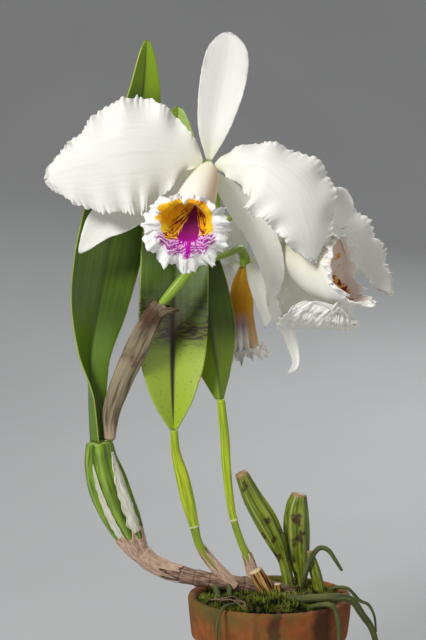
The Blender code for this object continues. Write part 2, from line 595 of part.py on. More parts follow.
def make_lip(place):
    lip = sheet(f"bloom_{place}_lip", lip_grid(place, 3, 3, FRILLS * 3), PETAL_THICKNESS, closed=True)
    finish(lip, LIP_WHITE)


def make_column(place):
    """Column inside the lip, thicker towards its rounded cap."""
    bloom = BLOOMS[place]
    hub, facing = Vector(bloom["hub"]), Vector(bloom["facing"]).normalized()
    axis = [hub + facing * COLUMN_START, hub + facing * 4] + [hub + Vector(p) for p in LIPS[place]["axis"][:2]]
    path = [along(axis, t) for t in (0, 0.33, 0.6, 0.9)]
    column = tube(f"bloom_{place}_column", tube_rings(path, COLUMN_RADII, COLUMN_RADII, 5, 8))
    finish(column, COLUMN_CREAM)


def root_rings(path, radius, grow=0.0):
    radii = [radius, radius * 1.05, radius, radius * 0.85, radius * 0.55]
    return tube_rings(path, radii, radii, 14, 6, grow=grow)


def make_roots():
    for name, (path, radius) in ROOTS.items():
        root = tube(name, root_rings(path, radius))
        combine(root, [tube("creeping_stem_cutter", rhizome_rings(GAP))], "DIFFERENCE")
        finish(root, ROOT_GREEN)


def mix_holes():
    """What stands in the mix, a gap larger all round."""
    holes = [tube("hole_rhizome", rhizome_rings(GAP))]
    for name, (path, radii) in BACKBULBS.items():
        holes.append(tube("hole_" + name, growth_rings(path, radii, 14, 12, 6, GAP)))
    for name, (path, radii) in STUBS.items():
        holes.append(tube("hole_" + name, growth_rings(path, radii, 4, 12, 6, GAP)))
    for name, (path, radius) in ROOTS.items():
        holes.append(tube("hole_" + name, root_rings(path, radius, GAP)))
    return holes


for leftover in list(bpy.data.objects):
    bpy.data.objects.remove(leftover)

make_pot()
make_mix(mix_holes())
rhizome = tube("rhizome", rhizome_rings())
finish(rhizome, WOODY_STEM)
make_growth("pseudobulb_lead", LEAD_BULB_PATH, LEAD_BULB_RADII, 16, 14, 7, BULB_GREEN)
make_growth("pseudobulb_second", SECOND_STEM_PATH, SECOND_STEM_RADII, 20, 8, 4, CANE_GREEN)
make_growth("pseudobulb_third", THIRD_STEM_PATH, THIRD_STEM_RADII, 20, 8, 4, CANE_GREEN)
for bulb, (bulb_path, bulb_radii) in BACKBULBS.items():
    make_growth(bulb, bulb_path, bulb_radii, 14, 12, 6, BULB_GREEN)
for stub, (stub_path, stub_radii) in STUBS.items():
    make_growth(stub, stub_path, stub_radii, 4, 12, 6, DRIED_SHEATH)
make_wrap("paper_sheath_lead", LEAD_BULB_PATH, LEAD_BULB_RADII, 16, 14, 7, 1, 5, PAPER_SHEATH)
for strip, column, strip_end in (("paper_strip_a", 9, 14), ("paper_strip_b", 6, 13), ("paper_strip_c", 12, 12)):
    make_strip(strip, LEAD_BULB_PATH, LEAD_BULB_RADII, 16, 14, 7, 6, strip_end, column, PAPER_SHEATH)
make_wrap("paper_sheath_second", SECOND_STEM_PATH, SECOND_STEM_RADII, 20, 8, 4, 2, 6, PAPER_SHEATH)
make_wrap("paper_sheath_third", THIRD_STEM_PATH, THIRD_STEM_RADII, 20, 8, 4, 2, 5, PAPER_SHEATH)
for leaf_name, leaf_shape in LEAVES.items():
    make_leaf(leaf_name, leaf_shape)
make_flower_sheath()
make_flower_stalk()
for bloom_name, organs in ORGANS.items():
    for organ_name, organ_shape in organs.items():
        make_organ(bloom_name, organ_name, organ_shape)
    make_lip(bloom_name)
    make_column(bloom_name)
make_roots()
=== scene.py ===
"""Looks of the potted cattleya orchid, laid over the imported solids.

Lengths are in millimetres until a mesh is made. +X is right, +Y is away from the eye and +Z is up.
"""
import json
import math
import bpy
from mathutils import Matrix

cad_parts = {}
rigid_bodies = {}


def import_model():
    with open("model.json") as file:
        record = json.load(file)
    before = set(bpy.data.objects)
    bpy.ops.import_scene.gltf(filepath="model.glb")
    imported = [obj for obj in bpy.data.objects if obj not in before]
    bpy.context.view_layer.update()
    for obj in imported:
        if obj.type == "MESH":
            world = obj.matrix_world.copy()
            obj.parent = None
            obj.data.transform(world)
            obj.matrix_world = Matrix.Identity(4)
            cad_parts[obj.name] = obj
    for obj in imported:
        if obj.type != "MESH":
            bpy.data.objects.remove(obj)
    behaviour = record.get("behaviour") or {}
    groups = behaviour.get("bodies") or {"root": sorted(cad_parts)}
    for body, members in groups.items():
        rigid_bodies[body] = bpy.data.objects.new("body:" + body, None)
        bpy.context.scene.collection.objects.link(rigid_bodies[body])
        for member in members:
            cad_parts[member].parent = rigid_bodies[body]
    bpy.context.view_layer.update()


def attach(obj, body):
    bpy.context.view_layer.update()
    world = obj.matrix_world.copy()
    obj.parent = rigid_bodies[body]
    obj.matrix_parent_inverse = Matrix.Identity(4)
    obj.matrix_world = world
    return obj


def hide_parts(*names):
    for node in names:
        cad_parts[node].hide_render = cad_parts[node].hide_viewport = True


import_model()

from types import SimpleNamespace

import bpy
from mathutils import Vector, noise

# Studio: the eye stands 0.93 metres in front of the pot, at three quarters of the plant's height, and looks
# slightly down. A soft light comes from the upper left, a weak one from the right, and one from behind parts
# the white petals from the grey ground.
LIGHTS_AIM = Vector((-0.03, 0, 0.25))


def put_in_scene(name, data):
    """Adds an object to the scene."""
    obj = bpy.data.objects.new(name, data)
    bpy.context.scene.collection.objects.link(obj)
    return obj


lens = bpy.data.cameras.new("studio_camera")
lens.lens, lens.sensor_width, lens.clip_start = 90, 36, 0.01
camera = put_in_scene("studio_camera", lens)
camera.location, camera.rotation_euler = (-0.0333, -0.9264, 0.3227), (math.radians(85.5), 0, 0)
bpy.context.scene.camera = camera

for light_name, place, size, watts in (("key", (-0.85, -1.0, 1.05), 0.4, 19),
                                       ("fill", (1.2, -0.9, 0.5), 0.9, 2.5),
                                       ("behind", (0.45, 1.1, 1.0), 0.8, 9)):
    lamp = bpy.data.lights.new(light_name, "AREA")
    lamp.size, lamp.energy = size, watts
    light = put_in_scene(light_name, lamp)
    light.location = place
    light.rotation_euler = (LIGHTS_AIM - Vector(place)).to_track_quat("-Z", "Y").to_euler()
    light.visible_camera = False

world = bpy.data.worlds.new("soft_room_light")
world.use_nodes = True
world.node_tree.nodes["Background"].inputs["Color"].default_value = (0.85, 0.82, 0.77, 1)
world.node_tree.nodes["Background"].inputs["Strength"].default_value = 0.36
bpy.context.scene.world = world
# Plain display colours, so that white petals stay white and the lip keeps its full magenta.
bpy.context.scene.view_settings.view_transform = "Standard"


def linear(code):
    """Linear colour of an sRGB hex value."""
    parts = [int(code[i:i + 2], 16) / 255 for i in (0, 2, 4)]
    return [p / 12.92 if p <= 0.04045 else ((p + 0.055) / 1.055) ** 2.4 for p in parts] + [1.0]


def plug(tree, value, socket):
    """Gives an input a value, a colour's hex code, or the socket or the node whose first output it takes."""
    if isinstance(value, bpy.types.Node):
        value = value.outputs[0]
    if isinstance(value, bpy.types.NodeSocket):
        tree.links.new(value, socket)
    elif value is not None:
        socket.default_value = linear(value) if isinstance(value, str) else value


def add(tree, kind, *values, stops=(), **named):
    """Adds a node. Values go to its inputs in order, and None leaves one as it is.

    A name with a capital is an input, with underscores for its spaces, and any other name is a setting. Stops
    are the places and colours of a ramp.
    """
    made = tree.nodes.new("ShaderNode" + kind if tree.type == "SHADER" else kind)
    inputs = dict(enumerate(values))
    for key, value in named.items():
        if key[0].isupper():
            inputs[key.replace("_", " ")] = value
        else:
            setattr(made, key, value)
    for number, (place, code) in enumerate(stops):
        if number > 1:
            made.color_ramp.elements.new(place)
        made.color_ramp.elements[number].position = place
        made.color_ramp.elements[number].color = linear(code)
    for key, value in inputs.items():
        plug(tree, value, made.inputs[key])
    return made


def start_material(name, **sockets):
    """A Principled material with plain values, its tree, and the place of a point in it.

    The place is given on the object and flat in the UV map, with the map's two parts, side and up. Light
    scatters evenly in all materials.
    """
    sockets.setdefault("subsurface_radius", (1, 1, 1))
    material = bpy.data.materials.new(name)
    material.use_nodes = True
    tree = material.node_tree
    for key, value in sockets.items():
        socket = key.replace("_", " ").title().replace("Ior", "IOR")
        tree.nodes["Principled BSDF"].inputs[socket].default_value = value
    place = add(tree, "TexCoord")
    spot = add(tree, "SeparateXYZ", place.outputs["UV"])
    return material, tree, SimpleNamespace(object=place.outputs["Object"], flat=place.outputs["UV"],
                                           side=spot.outputs["X"], up=spot.outputs["Y"])


def finish(tree, colour, relief=None, strength=None, depth=None, under=None):
    """Gives the shader its colour and, if asked, a fine relief, over another one or alone."""
    shader = tree.nodes["Principled BSDF"]
    plug(tree, colour, shader.inputs["Base Color"])
    if relief:
        bump = add(tree, "Bump", Strength=strength, Distance=depth, Height=relief, Normal=under)
        plug(tree, bump, shader.inputs["Normal"])


def new_mesh(name, points, faces, edges=()):
    """A mesh of points in metres."""
    mesh = bpy.data.meshes.new(name)
    mesh.from_pydata(points, edges, faces)
    return mesh


def ring_quads(spans, sides):
    """Faces between rings of points that follow one another, each with so many sides."""
    corners = [(i * sides + k, i * sides + (k + 1) % sides) for i in range(spans) for k in range(sides)]
    return [(a, b, b + sides, a + sides) for a, b in corners]


# Floor: pale grey paper that sweeps up all round, so no edge of it shows from any side. It is matt, so it
# takes soft shadows and mirrors nothing.
FLAT_RADIUS, BEND_RADIUS, BEND_STEPS, FLOOR_SIDES = 0.7, 2.3, 24, 64
bends = [a / BEND_STEPS * math.pi / 2 for a in range(1, BEND_STEPS + 1)]
sweep_profile = [(0.001, 0), (FLAT_RADIUS, 0)]
sweep_profile += [(FLAT_RADIUS + BEND_RADIUS * math.sin(a), BEND_RADIUS - BEND_RADIUS * math.cos(a))
                  for a in bends]
sweep_profile.append((3.0, 2.8))
floor_turns = [math.tau * k / FLOOR_SIDES for k in range(FLOOR_SIDES)]
sweep_points = [(r * math.cos(turn), r * math.sin(turn), z) for r, z in sweep_profile for turn in floor_turns]
sweep_mesh = new_mesh("floor", sweep_points,
                      ring_quads(len(sweep_profile) - 1, FLOOR_SIDES) + [tuple(range(FLOOR_SIDES))])
sweep_mesh.shade_smooth()
floor = put_in_scene("floor", sweep_mesh)
paper, tree, at = start_material("matt_grey_paper", roughness=0.9)
pulp = add(tree, "TexNoise", at.object, Scale=4, Detail=2)
finish(tree, add(tree, "ValToRGB", pulp, stops=((0.3, "B9BBBD"), (0.7, "BDBFC1"))))
floor.data.materials.append(paper)

# Clay pot: earthenware turned on a wheel and fired without glaze, with a deep collar under a rounded rim
# and three drain holes. Years of watering left a green film at the rim and dark runs down the wall.
MM = 0.001
POT_PROFILE = [(0, 6), (15, 6), (27, 6), (27.6, 6.6), (35, 46), (43.2, 85), (43.6, 86.6), (44.2, 87.6),
               (45.2, 88), (46.4, 88), (47.4, 87.6), (47.9, 86.7), (48, 85.6), (47.2, 76), (46, 65.6),
               (45.6, 64.4), (44.8, 64), (43.6, 63.8), (43.2, 63.2), (37.6, 33), (31.9, 1.6), (31.5, 0.6),
               (30.8, 0), (15, 0), (0, 0)]
DRAIN_RADIUS, DRAIN_CIRCLE, DRAIN_SIDES = 3.5, 16, 24


def place_piece(name, mesh, material, slot, *nodes):
    """Puts a mesh, already in metres, in the scene and lets it stand for CAD nodes."""
    mesh.name = name
    piece = put_in_scene(name, mesh)
    mesh.materials.clear()
    mesh.materials.append(material)
    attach(piece, "root")
    if nodes:
        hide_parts(*nodes)


def settled(obj):
    """The object's shape with its modifiers applied, as a plain mesh. The object is removed."""
    bpy.context.view_layer.update()
    graph = bpy.context.evaluated_depsgraph_get()
    mesh = bpy.data.meshes.new_from_object(obj.evaluated_get(graph))
    bpy.data.objects.remove(obj)
    return mesh


def combined(obj, operation, shapes):
    """The object's shape after an exact Boolean with a number of meshes. The object is removed."""
    others = bpy.data.collections.new(operation.lower())
    for shape in shapes:
        others.objects.link(bpy.data.objects.new(shape.name, shape))
    change = obj.modifiers.new(operation.title(), "BOOLEAN")
    change.operation, change.operand_type, change.solver = operation, "COLLECTION", "EXACT"
    change.collection = others
    mesh = settled(obj)
    for other in list(others.objects):
        bpy.data.objects.remove(other)
    bpy.data.collections.remove(others)
    return mesh


def stretched(tree, place, by, **given):
    """Noise drawn out, finer the way that its place is scaled up more."""
    return add(tree, "TexNoise", add(tree, "Mapping", place, Scale=by), **given)


def distance(tree, value, middle):
    """How far a value is from a middle one."""
    return add(tree, "Math", add(tree, "Math", value, middle, operation="SUBTRACT"), operation="ABSOLUTE")


turned = put_in_scene("pot_wall", new_mesh("pot_wall", [(r * MM, 0, z * MM) for r, z in POT_PROFILE], [],
                                           [(i, i + 1) for i in range(len(POT_PROFILE) - 1)]))
spin = turned.modifiers.new("Turned on the wheel", "SCREW")
spin.steps = spin.render_steps = 96
spin.use_merge_vertices, spin.merge_threshold = True, 0.00001
drills = []
for k in range(3):
    turn = math.tau * (k / 3 + 0.25)
    ring = [(DRAIN_CIRCLE * math.cos(turn) + DRAIN_RADIUS * math.cos(math.tau * j / DRAIN_SIDES),
             DRAIN_CIRCLE * math.sin(turn) + DRAIN_RADIUS * math.sin(math.tau * j / DRAIN_SIDES))
            for j in range(DRAIN_SIDES)]
    drills.append(new_mesh("drain_hole", [(x * MM, y * MM, z * MM) for z in (-3, 9) for x, y in ring],
                           ring_quads(1, DRAIN_SIDES) + [tuple(reversed(range(DRAIN_SIDES))),
                                                         tuple(range(DRAIN_SIDES, 2 * DRAIN_SIDES))]))
pot_mesh = combined(turned, "DIFFERENCE", drills)
for vertex in pot_mesh.vertices:
    if vertex.co.z > 0.004:
        out = Vector((vertex.co.x, vertex.co.y, 0))
        if out.length > 0.02:
            vertex.co += out.normalized() * noise.noise(vertex.co * 60) * 0.00035
pot_mesh.shade_smooth()
pot_mesh.set_sharp_from_angle(angle=math.radians(42))

# Clay looks dry and orange brown, mottled by its firing and rough to the touch.
clay, tree, at = start_material("unglazed_earthenware", roughness=0.86, specular_ior_level=0.3)
height = add(tree, "SeparateXYZ", at.object)
mottle = add(tree, "TexNoise", at.object, Scale=70, Detail=6, Roughness=0.6)
fired = add(tree, "ValToRGB", mottle, stops=((0.3, "75401D"), (0.72, "A8602C")))
# Dark runs: noise drawn out down the wall, strongest over the whole front.
runs = stretched(tree, at.object, (95, 95, 16), Scale=1, Detail=4)
runs_amount = add(tree, "MapRange", runs, 0.55, 0.68, 0, 0.75)
# Two broader dark runs on the front, 6 and 11 mm wide, at the middle and 28 mm to the right.
stain = runs_amount
ragged_side = add(tree, "TexNoise", at.object, Scale=120, Detail=4)
shaken = add(tree, "Math", ragged_side, 0.008, height.outputs["X"], operation="MULTIPLY_ADD")
facing_front = add(tree, "MapRange", height.outputs["Y"], -0.03, -0.02, 1, 0)
for middle, half_width in ((0.005, 0.003), (0.032, 0.0055)):
    off_run = distance(tree, shaken, middle)
    run = add(tree, "MapRange", off_run, half_width * 0.6, half_width * 1.3, 0.85, 0)
    front_run = add(tree, "Math", run, facing_front, operation="MULTIPLY")
    stain = add(tree, "Math", front_run, stain, operation="MAXIMUM")
stained = add(tree, "MixRGB", stain, fired, "3B2416")
# Green film, thickest on the rim and fading over 12 mm below it.
film_height = add(tree, "MapRange", height.outputs["Z"], 0.068, 0.087, 0)
film_patch = add(tree, "TexNoise", at.object, Scale=45, Detail=5)
film_spread = add(tree, "MapRange", film_patch, 0.42, 0.6, 0, 0.85)
film = add(tree, "Math", film_height, film_spread, operation="MULTIPLY")
filmed = add(tree, "MixRGB", film, stained, "5B5A2A")
grit = add(tree, "TexNoise", at.object, Scale=900, Detail=3)
finish(tree, filmed, grit, 0.35, 0.0004)
place_piece("clay_pot", pot_mesh, clay, "clay", "pot")

# Potting mix: chips of fir bark, about 5 to 10 mm, with a mat of moss grown over them to the rim. The lumpy
# bed closes under the chips, and the chips and moss tufts are scattered on it by a seeded rule.
BED_RINGS, BED_SIDES, BED_RADIUS, BED_EDGE, BED_RISE = 40, 96, 42.5, 84.4, 3.5
BED_FOOT_RADIUS, BED_FOOT = 26.7, 6.3
bed_turns = [math.tau * k / BED_SIDES for k in range(BED_SIDES)]
bed_points = []
for i in range(BED_RINGS + 1):
    reach = 1 - i / (BED_RINGS + 1)
    for turn in bed_turns:
        spot = Vector((math.cos(turn), math.sin(turn), 0)) * reach * BED_RADIUS
        lumps = noise.noise(spot * 0.14) * 1.6 + noise.noise(spot * 0.5) * 0.9
        height = BED_EDGE + BED_RISE * (1 - reach ** 2) + lumps * min(1, (1 - reach) * 6)
        bed_points.append(Vector((spot.x, spot.y, height)))
top_count = len(bed_points)
bed_points += [Vector((math.cos(turn) * BED_FOOT_RADIUS, math.sin(turn) * BED_FOOT_RADIUS, BED_FOOT))
               for turn in bed_turns]
bed_faces = ring_quads(BED_RINGS, BED_SIDES) + [tuple(range(BED_RINGS * BED_SIDES, top_count))]
bed_faces += [(top_count + k, top_count + (k + 1) % BED_SIDES, (k + 1) % BED_SIDES, k)
              for k in range(BED_SIDES)]
bed_faces.append(tuple(reversed(range(top_count, top_count + BED_SIDES))))
bed = new_mesh("potting_mix_bed", [p * MM for p in bed_points], bed_faces)
bed.shade_smooth()

# Bark looks damp and dark brown, with lighter torn grain and a green film in patches.
bark, tree, at = start_material("damp_fir_bark", roughness=0.92, specular_ior_level=0.25)
chips_tone = add(tree, "TexNoise", at.object, Scale=160, Detail=5, Roughness=0.65)
bark_tones = add(tree, "ValToRGB", chips_tone, stops=((0.35, "1C130B"), (0.75, "6B4A2C")))
moss_patch = add(tree, "TexNoise", at.object, Scale=55, Detail=4)
moss_amount = add(tree, "MapRange", moss_patch, 0.45, 0.56, 0, 0.85)
bark_mossed = add(tree, "MixRGB", moss_amount, bark_tones, "4E5A1C")
finish(tree, bark_mossed, chips_tone, 0.6, 0.0008)

# Moss looks yellow green at its tips and nearly black between them, and lets a little light through.
moss_green, tree, at = start_material("cushion_moss", roughness=0.85, specular_ior_level=0.3,
                                      subsurface_weight=0.15,
                                      subsurface_scale=0.001)
moss_tone = add(tree, "TexNoise", at.object, Scale=120, Detail=4)
moss_tones = add(tree, "ValToRGB", moss_tone, stops=((0.4, "1A2108"), (0.62, "8C982F")))
finish(tree, moss_tones)


def start_tree(name, *sockets):
    """A Geometry Nodes tree with named inputs and, last, one output, and its node of inputs."""
    tree = bpy.data.node_groups.new(name, "GeometryNodeTree")
    for label, kind in sockets:
        way = "OUTPUT" if label == sockets[-1][0] else "INPUT"
        tree.interface.new_socket(label, in_out=way, socket_type="NodeSocket" + kind)
    return tree, add(tree, "NodeGroupInput")


def grown(holder, tree, shapes, material, values):
    """Ends a tree with its shapes in one material, and gives what it makes of the holder as a plain mesh."""
    real = add(tree, "GeometryNodeRealizeInstances", shapes)
    painted = add(tree, "GeometryNodeSetMaterial", real, Material=material)
    add(tree, "NodeGroupOutput", painted)
    change = holder.modifiers.new(tree.name, "NODES")
    change.node_group = tree
    for item in tree.interface.items_tree:
        if item.name in values:
            change[item.identifier] = values[item.name]
    return settled(holder)


def scatter(name, ground, shape, material, per_square_metre, least, largest, seed, upright):
    """Scatters a small shape over a mesh by a seeded rule and places it as a piece of the potting mix."""
    source = bpy.data.objects.new(name + "_shape", shape)
    tree, given = start_tree(name, ("Ground", "Geometry"), ("Shape", "Object"), ("Density", "Float"),
                             ("Least size", "Float"), ("Largest size", "Float"), ("Scattered", "Geometry"))
    spots = add(tree, "GeometryNodeDistributePointsOnFaces", Seed=seed, Mesh=given.outputs["Ground"],
                Density=given.outputs["Density"])
    lean = (0.35, 0.35, math.tau) if upright else (math.tau, math.tau, math.tau)
    turned_by = add(tree, "FunctionNodeRandomValue", (-lean[0], -lean[1], 0), lean, Seed=seed + 1,
                    data_type="FLOAT_VECTOR")
    scaled_by = add(tree, "FunctionNodeRandomValue", None, None, given.outputs["Least size"],
                    given.outputs["Largest size"],
                    Seed=seed + 2, data_type="FLOAT")
    shape_info = add(tree, "GeometryNodeObjectInfo", Object=given.outputs["Shape"])
    copies = add(tree, "GeometryNodeInstanceOnPoints", Points=spots.outputs["Points"],
                 Instance=shape_info.outputs["Geometry"], Rotation=turned_by, Scale=scaled_by.outputs[1])
    values = {"Shape": source, "Density": per_square_metre, "Least size": least, "Largest size": largest}
    mesh = grown(put_in_scene(name + "_ground", ground), tree, copies, material, values)
    bpy.data.objects.remove(source)
    place_piece(name, mesh, material, "potting_mix")


# What is scattered lies on the bed's top, but not on its outer three rings.
BARE_RINGS = 3
top_only = new_mesh("bed_top", [p * MM for p in bed_points[BED_SIDES * BARE_RINGS:top_count]],
                    ring_quads(BED_RINGS - BARE_RINGS, BED_SIDES))
chip_points = [(-3.4, -1.6, -0.8), (2.6, -2, -0.9), (3.6, 1.1, -0.6), (-2.2, 2, -0.9),
               (-2.9, -1.2, 0.8), (2.9, -1.4, 0.6), (2.7, 1.5, 0.9), (-2.6, 1.5, 0.5)]
chip_faces = [(3, 2, 1, 0), (4, 5, 6, 7), (0, 1, 5, 4), (1, 2, 6, 5), (2, 3, 7, 6), (3, 0, 4, 7)]
chip = new_mesh("bark_chip", [Vector(p) * MM for p in chip_points], chip_faces)
FRONDS = 9
frond_points = []
for k in range(FRONDS):
    turn, tilt = math.tau * k / FRONDS + (k % 3) * 0.3, 0.3 + 0.25 * (k % 3)
    way = Vector((math.cos(turn) * math.sin(tilt), math.sin(turn) * math.sin(tilt), math.cos(tilt)))
    wide = way.cross(Vector((0, 0, 1))).normalized() * 0.16
    long = 2.0 + 0.5 * (k % 4)
    frond_points += [way * 0.2 - wide, way * 0.2 + wide, way * long * 0.6 + wide * 1.3, way * long,
                     way * long * 0.6 - wide * 1.3]
tuft = new_mesh("moss_tuft", [p * MM for p in frond_points],
                [tuple(range(5 * k, 5 * k + 5)) for k in range(FRONDS)])
# Taller feathery moss stands in one patch on the front right.
PATCH_MIDDLE, PATCH_RADIUS = (0.004, -0.024), 0.013
patch_faces = [tuple(face.vertices) for face in top_only.polygons
               if (face.center - Vector((*PATCH_MIDDLE, face.center.z))).length < PATCH_RADIUS]
tall_patch = new_mesh("tall_moss_bed", [vertex.co.copy() for vertex in top_only.vertices], patch_faces)
place_piece("potting_mix_bed", bed, bark, "potting_mix", "potting_mix")
scatter("bark_chips", top_only.copy(), chip, bark, per_square_metre=60000, least=0.5, largest=1.25, seed=3,
        upright=False)
scatter("feather_moss", tall_patch, tuft.copy(), moss_green, per_square_metre=110000, least=1.4, largest=3.0,
        seed=15, upright=True)
scatter("moss_tufts", top_only, tuft, moss_green, per_square_metre=560000, least=0.5, largest=1.5, seed=8,
        upright=True)

# Creeping stem: a woody rhizome as thick as a pencil, ringed by the scars of its scale leaves and wrapped in
# their dry remains. It lies on the mix and reaches out over the rim to carry the newest growth.
RHIZOME_PATH = [(-73, 0, 109), (-62, 0, 103), (-47, 0, 98.5), (-30, 0, 95.5), (-12, 4, 92), (6, 9, 88),
                (20, 12, 85)]
RHIZOME_RADII = [4.0, 4.6, 4.9, 4.6, 5.0, 4.8, 3.6]


def along(values, t):
    """Value at t, from 0 to 1, on the smooth curve through points or numbers."""
    spans = len(values) - 1
    if spans == 0:
        return values[0]
    spot = min(max(t, 0.0), 1.0) * spans
    i = min(int(spot), spans - 1)
    f = spot - i
    b, c = values[i], values[i + 1]
    a = values[i - 1] if i > 0 else b * 2 - c
    d = values[i + 2] if i + 2 <= spans else c * 2 - b
    return (b * 2 + (c - a) * f + (a * 2 - b * 5 + c * 4 - d) * f ** 2
            + (b * 3 - a - c * 3 + d) * f ** 3) * 0.5


def vectors(points):
    """The points as vectors."""
    return [Vector(p) for p in points]


def heading(path, t):
    """Way that a path goes at t."""
    return (along(path, min(t + 0.01, 1)) - along(path, max(t - 0.01, 0))).normalized()


def uneven_at(x, y, z):
    """Smooth noise at a place, from about -1 to 1."""
    return noise.noise(Vector((x, y, z)))


def tube_rings(path, widths, count, sides, relief=None, depths=None):
    """Rings of points round a path. relief(turn, t) scales the section, with turn and t from 0 to 1."""
    path, depths = vectors(path), depths or widths
    rings, across = [], Vector((0, 1, 0))
    for i in range(count + 1):
        t = i / count
        ahead = heading(path, t)
        across = (across - ahead * across.dot(ahead)).normalized()
        beside = ahead.cross(across)
        centre, wide, deep = along(path, t), along(widths, t), along(depths, t)
        ring = []
        for k in range(sides):
            a = math.tau * k / sides
            scale = relief(k / sides, t) if relief else 1
            ring.append(centre + across * math.cos(a) * (deep * scale)
                        + beside * math.sin(a) * (wide * scale))
        rings.append(ring)
    return rings


def skin(points, faces, uvs):
    """A smooth mesh with a UV map, from points in millimetres and a (u, v) for each corner of each face."""
    mesh = new_mesh("skin", [p * MM for p in points], faces)
    layer = mesh.uv_layers.new(name="UVMap")
    layer.data.foreach_set("uv", [c for face in uvs for corner in face for c in corner])
    mesh.shade_smooth()
    return mesh


def tube(rings, domed=0.5):
    """A closed mesh from rings of points, foot first, its ends slightly domed."""
    sides, count = len(rings[0]), len(rings) - 1
    points, faces, uvs = [p for ring in rings for p in ring], [], []
    for i in range(count):
        for k in range(sides):
            a, b = i * sides + k, i * sides + (k + 1) % sides
            faces.append((a, b, b + sides, a + sides))
            uvs.append([(k / sides, i / count), ((k + 1) / sides, i / count),
                        ((k + 1) / sides, (i + 1) / count), (k / sides, (i + 1) / count)])
    for ring, start, inner, flip in ((rings[0], 0, rings[1], True),
                                     (rings[-1], count * sides, rings[-2], False)):
        middle = sum(ring, Vector()) / sides
        radius = sum((p - middle).length for p in ring) / sides
        outward = (middle - sum(inner, Vector()) / sides).normalized()
        points.append(middle + outward * radius * domed * 0.5)
        for k in range(sides):
            a, b = start + k, start + (k + 1) % sides
            faces.append((b, a, len(points) - 1) if flip else (a, b, len(points) - 1))
            uvs.append([(0.5, 0.0 if flip else 1.0)] * 3)
    return skin(points, faces, uvs)


def scarred(turn, t):
    """Dry scales every 9 mm, each swelling to a ragged edge over the next, and wrinkles along the stem."""
    round_it = Vector((math.cos(turn * math.tau), math.sin(turn * math.tau), 0))
    beat = (t * 11 + 0.25 * noise.noise(round_it * 2 + Vector((0, 0, 4)))) % 1
    grain = noise.noise(round_it * 4 + Vector((0, 0, t * 5)))
    edge = 0.16 * (1 - beat) ** 1.5 * min(1, beat * 12)
    return 0.93 + edge + 0.06 * grain + 0.025 * math.sin(turn * math.tau * 13 + 9 * t)


# Old stem skin looks dry, pinkish brown and fibrous, with a dark line at each scar.
woody, tree, at = start_material("woody_creeping_stem", roughness=0.78, specular_ior_level=0.3)
fibre = stretched(tree, at.flat, (15, 7, 1), Scale=2, Detail=6, Roughness=0.6)
tones = add(tree, "ValToRGB", fibre, stops=((0.33, "4A3228"), (0.66, "B3937C")))
scale_count = add(tree, "Math", at.up, 11, 0.1, operation="MULTIPLY_ADD")
scale_part = add(tree, "Math", scale_count, operation="FRACT")
scar_line = add(tree, "MapRange", scale_part, 0.0, 0.12, 0.75, 0)
scar_lined = add(tree, "MixRGB", scar_line, tones, "2A1A14")
finish(tree, scar_lined, fibre, 0.7, 0.0005)
place_piece("creeping_stem", tube(tube_rings(RHIZOME_PATH, RHIZOME_RADII, 110, 32, scarred)),
            woody, "creeping_stem", "rhizome")

# Newest pseudobulb: a fat, deeply furrowed green bulb that hangs clear of the pot. Dry white sheaths cling to
# its ridges in long torn strips and wrap its foot, and green shows in the furrows between them.
LEAD_BULB_PATH = [(-73.5, 0, 110.6), (-78, 0, 115), (-84, 0, 126), (-90, 0, 139.5), (-95, 0, 153),
                  (-98.5, 0, 166), (-99.6, 0, 178)]
LEAD_BULB_RADII = [4.4, 6.4, 9.6, 11.8, 12.2, 10.4, 7.8]
SHEATH_CLEAR = 0.6


def furrowed(ribs, depth):
    """Relief of a ribbed growth: sharp furrows between rounded ribs, with slight wrinkles."""
    def relief(turn, t):
        rib = depth * (0.5 + 0.5 * math.cos(ribs * turn * math.tau)) * math.sin(math.pi * t)
        grain = uneven_at(math.cos(turn * math.tau) * 4, math.sin(turn * math.tau) * 4, t * 6)
        return 1 - rib + 0.012 * grain
    return relief


def green_stem_material(name, pale, dark, blotch=None, rough=0.42, ribs=0, joint=None, ends=None):
    """Living stem or bulb: waxy skin, lighter and darker along its length.

    It may have dark blotches, pale ridges on so many ribs with painted shade in the furrows between them,
    a whitish joint at a height and tan cut ends.
    """
    material, tree, at = start_material(name, roughness=rough, specular_ior_level=0.45, subsurface_weight=0.1,
                                        subsurface_scale=0.002)
    streak = stretched(tree, at.flat, (14, 3, 1), Scale=2, Detail=5)
    tones = add(tree, "ValToRGB", streak, stops=((0.32, dark), (0.66, pale)))
    colour = tones
    if ribs:
        counted = add(tree, "Math", at.side, ribs, operation="MULTIPLY")
        part_of_rib = add(tree, "Math", counted, operation="FRACT")
        off_ridge = distance(tree, part_of_rib, 0.5)
        # Painted shade darkens the furrows between the ribs.
        painted_furrow_shade = add(tree, "MapRange", off_ridge, 0.34, 0.5, 0, 0.75)
        deep = add(tree, "MixRGB", painted_furrow_shade, colour, "26390B")
        ridge = add(tree, "MapRange", off_ridge, 0.03, 0.13, 0.25, 0)
        colour = add(tree, "MixRGB", ridge, deep, "C9CF8E")
    if blotch:
        spots = add(tree, "TexNoise", at.object, Scale=130, Detail=3)
        spread = add(tree, "MapRange", spots, 0.58, 0.66, 0, 0.9)
        colour = add(tree, "MixRGB", spread, colour, blotch)
    if joint:
        off_joint = distance(tree, at.up, joint)
        ring = add(tree, "MapRange", off_joint, 0.003, 0.007, 0.8, 0)
        below = add(tree, "MapRange", at.up, joint - 0.02, joint, 0.6, 0)
        dull = add(tree, "MixRGB", below, colour, "6E7F2A")
        colour = add(tree, "MixRGB", ring, dull, "D6D0AC")
    if ends:
        cut = add(tree, "MapRange", at.up, 0.965, 0.99, 0)
        colour = add(tree, "MixRGB", cut, colour, ends)
    finish(tree, colour, streak, 0.25, 0.0004)
    return material


